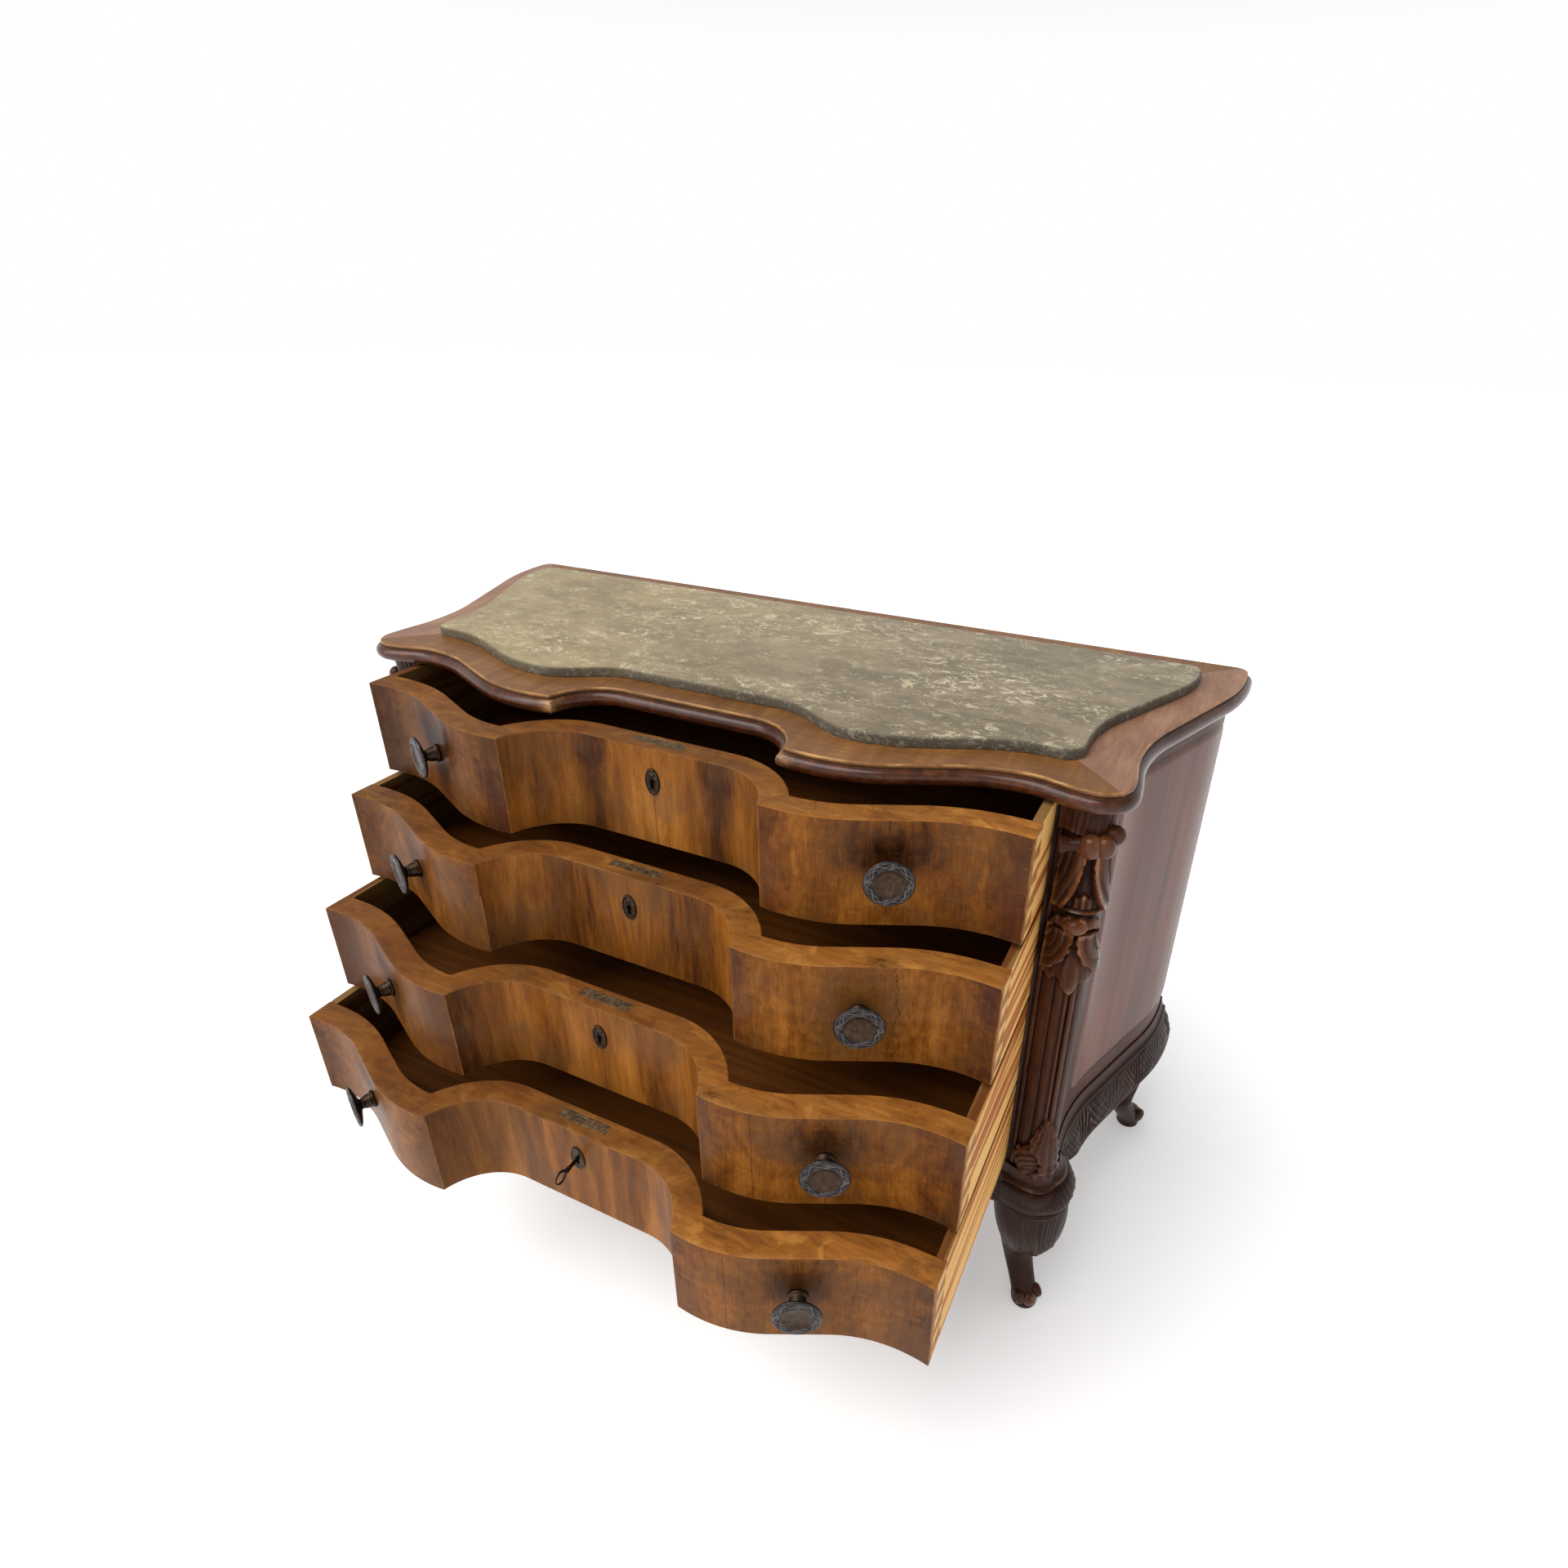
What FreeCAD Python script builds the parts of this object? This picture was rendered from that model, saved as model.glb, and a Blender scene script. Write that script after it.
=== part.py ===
"""A serpentine chest of four drawers with a marble slab, as a parametric assembly.

Millimetres. +X is the chest's right, +Y its back, +Z up, and the floor is Z = 0.
In plan, the face line of the closed drawers' flat centre is Y = 0 before the origin is set back.
Each outline is worked out once for the face line and then offset outwards by a named overhang.
"""
import FreeCAD
import Part
import math
import os
import re

from FreeCAD import Placement, Rotation, Vector

# Driving sizes
SIZES = [
    # drawers
    ("drawer_width", 920, "across a drawer front"),
    ("drawer_height", 132, "of a drawer front and its sides"),
    ("drawer_length", 425, "from the flat of the face to the drawer's back"),
    ("front_thickness", 33, "of the sawn serpentine front"),
    ("side_thickness", 12, "of a drawer side"),
    ("rear_thickness", 12, "of a drawer back"),
    ("rear_drop", 10, "of a drawer back below the sides"),
    ("bottom_thickness", 8, "of a drawer bottom"),
    ("bottom_lift", 7, "of a drawer bottom above the lower edge"),
    ("top_drawer_opening", 97, "of the top drawer as photographed"),
    ("second_drawer_opening", 163, "of the second drawer as photographed"),
    ("third_drawer_opening", 242, "of the third drawer as photographed"),
    ("bottom_drawer_opening", 307, "of the bottom drawer as photographed"),
    # plan of the front
    ("cusp_share", 0.388, "of the drawer's width between the two sharp ridges"),
    ("crest_share", 0.4457, "of the drawer's width between the foremost lines of the waves"),
    ("crest_depth", 62, "of the crests in front of the flat centre"),
    ("trough_share", 0.9348, "of the drawer's width between the two hollows"),
    ("trough_rise", 2, "of the hollows behind the flat centre"),
    ("recess_radius", 88, "of the cove from the flat centre to the ridge"),
    ("front_slope_share", 1.57, "steepest slope of the front wave over its chord's slope"),
    # plan of the corners and sides
    ("post_width", 38.8, "of a post's face from the drawers to the rounded corner"),
    ("post_setback", 2, "of a post's inner edge in front of the flat centre"),
    ("corner_radius", 20, "of the rounded front corner"),
    ("corner_depth", 10, "of the corner in front of the flat centre"),
    ("corner_slope_share", 1.6, "steepest slope of the corner's waves over their chord's slope"),
    ("waist_draw", 5, "of a side's hollow inside the front corner"),
    ("waist_setback", 80, "of a side's hollow behind the flat centre"),
    ("flare_reach", 91, "of a side's back outside its hollow"),
    ("flare_length", 17, "of a side's straight end behind the flare"),
    ("side_slope_share", 1.41, "steepest slope of the side wave over its chord's slope"),
    ("origin_setback", 34, "of the origin behind the flat centre"),
    # case
    ("panel_thickness", 20, "of a side panel"),
    ("field_rise", 2.5, "of a side panel's raised field"),
    ("field_margin", 34, "around a side panel's raised field"),
    ("field_radius", 28, "of the raised field's corners"),
    ("back_thickness", 12, "of the back boards"),
    ("back_clearance", 3, "behind a closed drawer"),
    ("back_post_width", 26, "of a back corner post"),
    ("back_post_clearance", 2, "between a back corner post and the side panel"),
    ("floor_thickness", 12, "of the case's bottom board"),
    ("runner_thickness", 6.5, "of the rails and runners"),
    ("runner_width", 34, "of a runner under a drawer side"),
    ("guide_width", 12, "of a runner's upright guide"),
    ("guide_height", 26, "of a runner's upright guide"),
    ("runner_clearance", 0.3, "under a drawer side"),
    ("kicker_clearance", 1.2, "over a drawer side"),
    ("side_clearance", 1.2, "beside a drawer"),
    ("rail_setback", 6, "of a rail's edge behind the face line"),
    ("top_gap", 4, "between the top drawer and the top board"),
    ("fit_clearance", 0.3, "between curved pieces that fit together"),
    # top
    ("top_thickness", 24, "of the top board"),
    ("nose_overhang", 24, "of the top's rounded nose"),
    ("nose_rounding", 4, "of the nose above and below"),
    ("arris_overhang", 16, "of the top's upper edge"),
    ("arris_height", 5, "of the flat step under the upper edge"),
    ("top_back_overhang", 6, "of the top behind the case"),
    ("back_corner_radius", 14, "of the top's back corners"),
    ("marble_thickness", 13, "of the slab"),
    ("marble_margin", 57, "of bare wood beside and behind the slab"),
    ("marble_front_margin", 53, "of bare wood in front of the slab's crests"),
    ("marble_crest_share", 0.4957, "of the drawer's width between the slab's crests"),
    ("marble_recess_share", 0.2348, "of the drawer's width along the slab's straight recess"),
    ("marble_recess_depth", 43, "of the slab's recess behind its crests"),
    ("marble_trough_share", 0.9565, "of the drawer's width between the slab's hollows"),
    ("marble_trough_depth", 60, "of the slab's hollows behind its crests"),
    ("marble_corner_radius", 22, "of the slab's corners"),
    # base and legs
    ("leg_height", 216, "from the floor to the base moulding"),
    ("base_band_height", 44, "of the carved band"),
    ("base_band_overhang", 27, "of the carved band at its foot"),
    ("base_edge_height", 5, "of a drum's upper and lower edges"),
    ("base_edge_overhang", 14, "of the carved band at its upper edge"),
    ("base_cove_height", 25, "of the plain cove above the band"),
    ("base_cove_overhang", 7, "of the cove"),
    ("base_inset", 20, "of the base moulding's inner face"),
    ("drum_radius", 57, "of the band round a front leg"),
    ("drum_setback", 30, "of a front leg's axis behind the flat centre"),
    ("drum_inset", 23, "of a front leg's axis inside the front corner"),
    ("drum_step", 2, "of the drum's edges inside its band"),
    ("drum_neck", 14, "of the drum's cove inside its band"),
    ("rear_leg_inset", 26, "of a rear leg's axis inside the flare's face"),
    ("rear_leg_setback", 46, "of a rear leg's axis in front of the case's back"),
    ("front_knee_radius", 52, "of a front leg's knee"),
    ("rear_knee_radius", 28, "of a rear leg's knee"),
    ("ankle_radius", 17.5, "of a leg's ankle"),
    ("toe_reach", 22, "of a foot outwards from the leg's axis"),
    ("scroll_radius", 11, "of the scroll on a foot"),
    ("scroll_width", 38, "across the scroll on a foot"),
    # carved corner posts
    ("carving_turn", 81, "degrees from the chest's width to the way that the carving faces"),
    ("flute_radius", 4, "of the flutes on a post"),
    ("flute_angle", 24, "degrees between flutes round a post's corner"),
    ("roll_radius", 12, "of a capital's scroll"),
    ("roll_width", 56, "across a capital's scroll"),
    ("roll_drop", 45, "of a capital's scroll below the top"),
    ("berry_radius", 10.5, "of the round tips on a capital"),
    ("berry_shift", 10, "of the round tips' middle along the scroll, towards the side"),
    ("leaf_width", 46, "of the leaves on a post"),
    ("leaf_thickness", 15, "of the leaves on a post"),
    ("leaf_length", 92, "of a capital's leaf"),
    ("drop_leaf_length", 96, "of the lower leaf"),
    ("drop_leaf_gap", 14, "between the two leaves"),
    ("foot_leaf_length", 106, "of the leaf at a post's foot"),
    # hardware
    ("knob_radius", 27.5, "of a knob's disc"),
    ("knob_standoff", 36, "of a knob's front from the drawer"),
    ("knob_disc_thickness", 5, "of a knob's disc at its rim"),
    ("knob_stem_radius", 6, "of a knob's stem"),
    ("knob_foot_radius", 11, "of a knob's foot"),
    ("knob_foot_height", 5, "of a knob's foot"),
    ("knob_drop", 57, "of the knobs below a drawer's upper edge"),
    ("keyhole_drop", 44, "of the keyhole below a drawer's upper edge"),
    ("keyhole_radius", 2.9, "of the keyhole's round"),
    ("keyhole_slot", 10, "of the keyhole below its centre"),
    ("keyhole_width", 3.4, "of the keyhole's slot"),
    ("escutcheon_width", 25, "of the keyhole plate"),
    ("escutcheon_height", 37, "of the keyhole plate"),
    ("escutcheon_thickness", 2.5, "of the keyhole plate"),
    ("lock_setback", 19, "of the lock's middle behind the face"),
    ("selvedge_length", 72, "of the lock's edge plate"),
    ("selvedge_width", 14, "of the lock's edge plate"),
    ("selvedge_thickness", 2, "of the lock's edge plate"),
    ("lock_length", 56, "of the lock's case"),
    ("lock_width", 12, "of the lock's case"),
    ("lock_height", 58, "of the lock's case"),
    ("ward_radius", 9.5, "of the chamber that the key turns in"),
    ("ward_length", 9, "of the chamber that the key turns in"),
    ("bolt_length", 30, "of a lock bolt"),
    ("bolt_width", 6, "of a lock bolt"),
    ("bolt_height", 24, "of a lock bolt"),
    ("bolt_throw", 6, "of a lock bolt"),
    ("bolt_clearance", 0.3, "round a lock bolt"),
    ("strike_clearance", 1.5, "round a thrown bolt in its mortise"),
    ("key_clearance", 0.3, "round the key's shank in the keyhole"),
    ("key_reach", 30, "of the key's shank in front of the drawer"),
    ("key_bow_radius", 10, "of the key's bow to its wire's middle"),
    ("key_wire_radius", 2, "of the key's bow wire"),
    ("key_bit_length", 6, "of the key's bit along the shank"),
    ("key_bit_height", 8, "of the key's bit from the shank's axis"),
    ("key_bit_width", 2, "of the key's bit"),
    ("cut_overrun", 2, "of a cutting shape past the face that it cuts"),
]

# A leg from its knee to its foot: height, girth from the ankle's to the knee's, and reach outwards
LEG_SHARES = [
    (1.00, 0.94, 0.00),
    (0.88, 1.00, 0.00),
    (0.70, 0.94, 0.00),
    (0.59, 0.79, -0.05),
    (0.50, 0.48, -0.20),
    (0.435, 0.22, -0.45),
    (0.37, 0.07, -0.50),
    (0.28, 0.02, -0.25),
    (0.16, 0.00, 0.35),
    (0.07, 0.00, 0.85),
    (0.00, -0.04, 1.00),
]
# A knob's cup from its stem to its disc: radius of the disc's, and height of the disc's thickness
CUP_SHARES = [(0.36, -1.2), (0.62, -0.4), (1.00, 0.0), (1.00, 0.6), (0.93, 1.0)]
BACK_PLANKS = 5
BAND_STEPS = 4
DRAWERS = ["bottom_drawer", "third_drawer", "second_drawer", "top_drawer"]
RIGHT = 1
LEFT = -1
UP = Vector(0, 0, 1)
ACROSS = Vector(1, 0, 0)
BACKWARDS = Vector(0, 1, 0)
FORWARDS = Vector(0, -1, 0)
QUARTER = 90
EIGHTH = 45

doc = FreeCAD.newDocument("serpentine_chest")
sheet = doc.addObject("Spreadsheet::Sheet", "sizes")
for row, (alias, value, meaning) in enumerate(SIZES, start=1):
    sheet.set(f"A{row}", meaning)
    sheet.set(f"B{row}", str(value))
    sheet.setAlias(f"B{row}", alias)
doc.recompute()


def size(alias):
    """A driving size, read from the sheet."""
    return float(sheet.get(alias))


def formula(text):
    """An expression in the document's own words, from one written with bare size names."""
    return re.sub(r"[a-z][a-z_]*", lambda word: "sizes." + word.group(), text)


# Levels and lines that many pieces share, as formulas and as numbers
BASE_HEIGHT = "(base_band_height + base_cove_height)"
BASE_TOP = f"(leg_height + {BASE_HEIGHT})"
PITCH = "(drawer_height + runner_thickness + runner_clearance + kicker_clearance)"
FIRST_FLOOR = f"({BASE_TOP} + runner_thickness + runner_clearance)"
CASE_HEIGHT = f"({PITCH} * {len(DRAWERS)} - kicker_clearance + top_gap)"
CASE_TOP = f"({BASE_TOP} + {CASE_HEIGHT})"
BAY = "(drawer_width / 2 + side_clearance)"
CORNER = f"({BAY} + post_width + corner_radius)"
FLARE = f"({CORNER} - waist_draw + flare_reach)"
BACK_FACE = "(drawer_length + back_clearance)"
CASE_BACK = f"({BACK_FACE} + back_thickness)"
KEYHOLE = "(drawer_height - keyhole_drop)"

pitch = size("drawer_height") + size("runner_thickness") + size("runner_clearance") + size("kicker_clearance")
case_height = pitch * len(DRAWERS) - size("kicker_clearance") + size("top_gap")
bay = size("drawer_width") / 2 + size("side_clearance")
corner_x = bay + size("post_width") + size("corner_radius")
back_face = size("drawer_length") + size("back_clearance")
case_back = back_face + size("back_thickness")

subparts = []


def keep(piece, label, x="0", y="0", z="0"):
    """Name a finished sub-part, place it by formulas and list it for export."""
    piece.Label = label
    subparts.append(piece)
    return place(piece, x, f"{y} - origin_setback", z)


def place(piece, x, y, z):
    """Tie a piece's place to formulas."""
    for axis, text in (("x", x), ("y", y), ("z", z)):
        piece.setExpression(f"Placement.Base.{axis}", formula(text))
    return piece


def primitive(kind, name, **sizes):
    """A simple solid with its sizes tied to formulas."""
    piece = doc.addObject(f"Part::{kind}", name)
    for field, text in sizes.items():
        piece.setExpression(field, formula(text))
    return piece


def block(name, length, width, height, x="0", y="0", z="0"):
    """A box from its lowest corner."""
    return place(primitive("Box", name, Length=length, Width=width, Height=height), x, y, z)


def centred_block(name, length, width, height, y, z):
    """A box centred across the chest, and on y."""
    return block(name, length, width, height, f"-({length}) / 2", f"{y} - ({width}) / 2", z)


def rod(name, radius, height, x="0", y="0", z="0", axis=UP):
    """A cylinder from its foot along an axis."""
    cylinder = primitive("Cylinder", name, Radius=radius, Height=height)
    cylinder.Placement = Placement(Vector(), Rotation(UP, axis))
    return place(cylinder, x, y, z)


def cut(name, base, tool):
    """The base with the tool's space taken away."""
    result = doc.addObject("Part::Cut", name)
    result.Base = base
    result.Tool = tool
    return result


def fuse(name, pieces):
    """One solid made of several that meet."""
    result = doc.addObject("Part::MultiFuse", name)
    result.Shapes = pieces
    return result


def group(name, pieces):
    """Separate solids that share one node."""
    result = doc.addObject("Part::Compound", name)
    result.Links = pieces
    return result


def mirror(name, source):
    """The same piece on the chest's left."""
    copy = doc.addObject("Part::Mirroring", name)
    copy.Source = source
    copy.Normal = ACROSS
    return copy


def keep_mirrored(label, source):
    """The left one of a pair, listed for export."""
    copy = mirror(label, source)
    copy.Label = label
    subparts.append(copy)


def sketched(body, name, edges, plane_role, start="0"):
    """A sketch on one of a body's own planes, moved along the plane's normal."""
    plane = next(p for p in body.Origin.OriginFeatures if p.Role == plane_role)
    sketch = body.newObject("Sketcher::SketchObject", name)
    sketch.AttachmentSupport = (plane, [""])
    sketch.MapMode = "FlatFace"
    sketch.setExpression("AttachmentOffset.Base.z", formula(start))
    sketch.addGeometry(edges, False)
    return sketch


def padded(name, layers, plane_role="XY_Plane"):
    """A body of stacked pads: each layer has its outline's edges, its start and its height."""
    body = doc.addObject("PartDesign::Body", name)
    for number, (edges, start, height) in enumerate(layers):
        sketch = sketched(body, f"{name}_outline_{number}", edges, plane_role, start)
        pad = body.newObject("PartDesign::Pad", f"{name}_pad_{number}")
        pad.Profile = sketch
        pad.setExpression("Length", formula(height))
        body.Tip = pad
    return body


# Plan curves
def mirrored(edges):
    """The same edges on the chest's left."""
    copies = [edge.copy() for edge in edges]
    for copy in copies:
        copy.mirror(Vector(), BACKWARDS)
    return copies


def line(start, end):
    """A straight edge."""
    return Part.LineSegment(start, end)


def closed_path(points):
    """Straight edges through points and back to the first."""
    return [line(start, end) for start, end in zip(points, points[1:] + points[:1])]


def arc(centre, start, end):
    """The shorter arc about a centre from one point to another."""
    half_way = (start - centre) + (end - centre)
    half_way.normalize()
    return Part.Arc(start, centre + half_way * (start - centre).Length, end)


class Ogee:
    """An S-curve between two points with level ends: an arc, a straight stretch and an arc.

    heading is the direction of both ends, and outward points away from the chest.
    The two radii are equal. With slope a, run u and rise v, radius r and straight stretch s solve
    2 r sin a + s cos a = u and 2 r (1 - cos a) + s sin a = v.
    """

    def __init__(self, start, end, heading, outward, slope_share):
        chord = end - start
        run = chord.dot(heading)
        rise = chord.dot(outward)
        self.start, self.end, self.heading, self.outward = start, end, heading, outward
        self.bend = math.copysign(1, rise)
        self.slope = slope_share * math.atan2(abs(rise), run)
        sine, cosine = math.sin(self.slope), math.cos(self.slope)
        straight = abs(rise) * sine / (1 - cosine) - run
        self.radius = (run - straight * cosine) / (2 * sine)
        self.first_centre = start + outward * (self.bend * self.radius)
        self.second_centre = end - outward * (self.bend * self.radius)

    def edges(self, out=0):
        """The curve's three edges, moved outwards."""
        aside = self.outward * (self.bend * math.cos(self.slope))
        along = self.heading * math.sin(self.slope)
        begin = self.start + self.outward * out
        leave = self.first_centre + (along - aside) * (self.radius - self.bend * out)
        meet = self.second_centre - (along - aside) * (self.radius + self.bend * out)
        finish = self.end + self.outward * out
        return [
            arc(self.first_centre, begin, leave),
            line(leave, meet),
            arc(self.second_centre, meet, finish),
        ]


def across_share(alias):
    """Half of a share of the drawer's width."""
    return size(alias) * size("drawer_width") / 2


crest = Vector(across_share("crest_share"), -size("crest_depth"), 0)
trough = Vector(across_share("trough_share"), size("trough_rise"), 0)
corner_front = Vector(bay + size("post_width"), -size("corner_depth"), 0)
corner_centre = corner_front + BACKWARDS * size("corner_radius")
corner_side = corner_centre + ACROSS * size("corner_radius")
waist = Vector(corner_x - size("waist_draw"), size("waist_setback"), 0)
flare = Vector(waist.x + size("flare_reach"), case_back - size("flare_length"), 0)

front_wave = Ogee(crest, trough, ACROSS, FORWARDS, size("front_slope_share"))
corner_wave = Ogee(trough, corner_front, ACROSS, FORWARDS, size("corner_slope_share"))
hip_wave = Ogee(corner_side, waist, BACKWARDS, ACROSS, size("corner_slope_share"))
side_wave = Ogee(waist, flare, BACKWARDS, ACROSS, size("side_slope_share"))

cusp = Vector(across_share("cusp_share"), 0, 0)
cusp.y = front_wave.first_centre.y - math.sqrt(front_wave.radius ** 2 - (crest.x - cusp.x) ** 2)
recess_turn = math.acos(1 + cusp.y / size("recess_radius"))
recess_centre = Vector(cusp.x - size("recess_radius") * math.sin(recess_turn), -size("recess_radius"), 0)


def ridge(out):
    """Where the recess's cove and the crest's arc meet, once both are moved outwards."""
    cove, wave = size("recess_radius") - out, front_wave.radius + out
    between = front_wave.first_centre - recess_centre
    along = (between.Length ** 2 + cove ** 2 - wave ** 2) / (2 * between.Length)
    aside = math.sqrt(cove ** 2 - along ** 2)
    towards = between / between.Length
    return recess_centre + towards * along + Vector(towards.y, -towards.x, 0) * aside


def front_half(out):
    """The right half of the front's plan, from the middle to the hollow."""
    cove_start = Vector(recess_centre.x, -out, 0)
    tip = ridge(out)
    return [
        line(FORWARDS * out, cove_start),
        arc(recess_centre, cove_start, tip),
        arc(front_wave.first_centre, tip, crest + FORWARDS * out),
    ] + front_wave.edges(out)


def slab_outline(out):
    """The top's plan, closed along its back with rounded corners."""
    back = case_back + size("top_back_overhang")
    radius = size("back_corner_radius")
    end = flare + ACROSS * out
    turn_centre = Vector(end.x - radius, back - radius, 0)
    before = turn_centre + ACROSS * radius
    after = turn_centre + BACKWARDS * radius
    right = front_half(out) + corner_wave.edges(out)
    right += [arc(corner_centre, corner_front + FORWARDS * out, corner_side + ACROSS * out)]
    right += hip_wave.edges(out) + side_wave.edges(out)
    right += [line(end, before), arc(turn_centre, before, after), line(after, BACKWARDS * back)]
    return right + mirrored(right)


def marble_outline():
    """The slab's plan: the top's waves with soft curves in place of the ridges."""
    front = size("arris_overhang") + size("crest_depth") - size("marble_front_margin")
    side = size("arris_overhang") - size("marble_margin")
    back = case_back + size("top_back_overhang") - size("marble_margin")
    radius = size("marble_corner_radius")
    recess = Vector(across_share("marble_recess_share"), size("marble_recess_depth") - front, 0)
    peak = Vector(across_share("marble_crest_share"), -front, 0)
    hollow = Vector(across_share("marble_trough_share"), size("marble_trough_depth") - front, 0)
    hip = waist + ACROSS * side
    tail = Vector(flare.x + side, back - radius, 0)
    front_turn = Vector(hip.x - radius, hollow.y + radius, 0)
    back_turn = tail - ACROSS * radius
    share = size("front_slope_share")
    right = [line(Vector(0, recess.y, 0), recess)]
    right += Ogee(recess, peak, ACROSS, FORWARDS, share).edges()
    right += Ogee(peak, hollow, ACROSS, FORWARDS, share).edges()
    right += [
        line(hollow, front_turn + FORWARDS * radius),
        arc(front_turn, front_turn + FORWARDS * radius, front_turn + ACROSS * radius),
        line(front_turn + ACROSS * radius, hip),
    ]
    right += Ogee(hip, tail, BACKWARDS, ACROSS, size("side_slope_share")).edges()
    right += [arc(back_turn, tail, back_turn + BACKWARDS * radius)]
    right += [line(back_turn + BACKWARDS * radius, BACKWARDS * back)]
    return right + mirrored(right)


def drawer_front_outline():
    """A drawer front's plan: the serpentine face, a parallel inner face and square ends."""
    depth = size("front_thickness")
    half = size("drawer_width") / 2
    rise = front_wave.radius - math.sqrt(front_wave.radius ** 2 - (half - trough.x) ** 2)
    face_end = Vector(half, trough.y - rise, 0)
    inner_trough = trough + BACKWARDS * depth
    inner_end = Vector(half, inner_trough.y, 0)
    right = front_half(0) + [arc(front_wave.second_centre, trough, face_end), line(face_end, inner_end)]
    right += front_half(-depth) + [line(inner_trough, inner_end)]
    return right + mirrored(right)


def apron_outline(setback, half, back):
    """A board behind the front's plan, square at its ends and back."""
    edge = trough + BACKWARDS * setback
    end, corner = Vector(half, edge.y, 0), Vector(half, back, 0)
    right = front_half(-setback) + [line(edge, end), line(end, corner), line(corner, BACKWARDS * back)]
    return right + mirrored(right)


def floor_outline():
    """The bottom board's plan, inside the base moulding and cut short at the front legs."""
    inset = size("base_inset")
    side = flare - ACROSS * inset
    corner = Vector(side.x, back_face, 0)
    right = front_half(-inset) + corner_wave.edges(-inset)
    beside_leg = Vector(waist.x - inset, size("drum_setback"), 0)
    right += [line(corner_front + BACKWARDS * inset, beside_leg), line(beside_leg, waist - ACROSS * inset)]
    right += side_wave.edges(-inset)
    right += [line(side, corner), line(corner, BACKWARDS * back_face)]
    return right + mirrored(right)


def front_strip(outer):
    """The base moulding's plan along the front, from corner to corner."""
    inner = -size("base_inset")
    right = []
    for out in (inner, outer):
        right += front_half(out) + corner_wave.edges(out)
    right += [line(corner_front + FORWARDS * inner, corner_front + FORWARDS * outer)]
    return right + mirrored(right)


def side_strip(waves, inner, outer):
    """A strip along the right side's plan, through its waves to the case's back."""
    edges = []
    for out in (inner, outer):
        for wave in waves:
            edges += wave.edges(out)
        edges += [line(flare + ACROSS * out, Vector(flare.x + out, case_back, 0))]
    start = waves[0].start
    edges += [line(Vector(flare.x + inner, case_back, 0), Vector(flare.x + outer, case_back, 0))]
    return edges + [line(start + ACROSS * inner, start + ACROSS * outer)]


def post_outline():
    """A corner post's plan: a curved face round the corner and square inner sides."""
    inner_edge = Vector(bay, -size("post_setback"), 0)
    inner_back = Vector(bay, waist.y, 0)
    face = Ogee(inner_edge, corner_front, ACROSS, FORWARDS, size("corner_slope_share"))
    edges = face.edges() + [arc(corner_centre, corner_front, corner_side)] + hip_wave.edges()
    return edges + [line(waist, inner_back), line(inner_back, inner_edge)]


def field_outline():
    """The raised field on a side panel, seen square to the side, with rounded corners."""
    margin, radius = size("field_margin"), size("field_radius")
    near, far = waist.y + margin, case_back - margin
    low, high = margin, case_height - margin
    corners = [Vector(near, low, 0), Vector(far, low, 0), Vector(far, high, 0), Vector(near, high, 0)]
    headings = [ACROSS, BACKWARDS, ACROSS * -1, FORWARDS]
    outline = []
    for number, (corner, leaving) in enumerate(zip(corners, headings)):
        begin, end = corner - headings[number - 1] * radius, corner + leaving * radius
        following = corners[(number + 1) % len(corners)]
        outline += [arc(begin + leaving * radius, begin, end), line(end, following - leaving * radius)]
    return outline


# The case
def strike(name, height, z):
    """The mortise that a thrown bolt enters."""
    length, width = "bolt_length + strike_clearance * 2", "bolt_width + strike_clearance * 2"
    return centred_block(name, length, width, height, "lock_setback", z)


def make_top():
    """The top board, with a stepped nose along its front and sides, and the slab on it."""
    nose, soft, edge = size("nose_overhang"), size("nose_rounding"), size("arris_overhang")
    layers = [
        (slab_outline(nose - soft), "0", "nose_rounding"),
        (slab_outline(nose), "nose_rounding", "top_thickness - arris_height - nose_rounding * 2"),
        (slab_outline(nose - soft), "top_thickness - arris_height - nose_rounding", "nose_rounding"),
        (slab_outline(edge), "top_thickness - arris_height", "arris_height"),
    ]
    mortise = strike("top_strike", "bolt_throw - top_gap + strike_clearance + cut_overrun", "-cut_overrun")
    keep(cut("top_board", padded("top_layers", layers), mortise), "top_board", z=CASE_TOP)
    slab = padded("marble_slab", [(marble_outline(), "0", "marble_thickness")])
    keep(slab, "marble_slab", z=f"{CASE_TOP} + top_thickness")


def make_side_panels():
    """The curved side panels with their raised fields."""
    panel = padded("panel", [(side_strip([side_wave], -size("panel_thickness"), 0), "0", CASE_HEIGHT)])
    skin = padded("field_skin", [(side_strip([side_wave], 0, size("field_rise")), "0", CASE_HEIGHT)])
    window = padded("field_window", [(field_outline(), "0", f"{FLARE} * 2")], "YZ_Plane")
    field = doc.addObject("Part::Common", "field")
    field.Base = skin
    field.Tool = window
    right = keep(fuse("right_side_panel", [panel, field]), "right_side_panel", z=BASE_TOP)
    keep_mirrored("left_side_panel", right)


def on_corner(piece, outwards, sideways, height):
    """Set a carved form on the post's corner: outwards, along the corner's face, and up."""
    turned = Rotation(UP, -size("carving_turn"))
    piece.Placement = Placement(corner_centre + turned.multVec(Vector(outwards, sideways, height)), turned)
    return piece


def carved_leaf(name, length, top):
    """A leaf as a slim swelling that hangs from its top."""
    leaf = primitive("Ellipsoid", name, Radius1=f"{length} / 2", Radius2="leaf_thickness", Radius3="leaf_width / 2")
    return on_corner(leaf, size("corner_radius") - size("leaf_thickness") / 2, 0, top - size(length) / 2)


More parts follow.
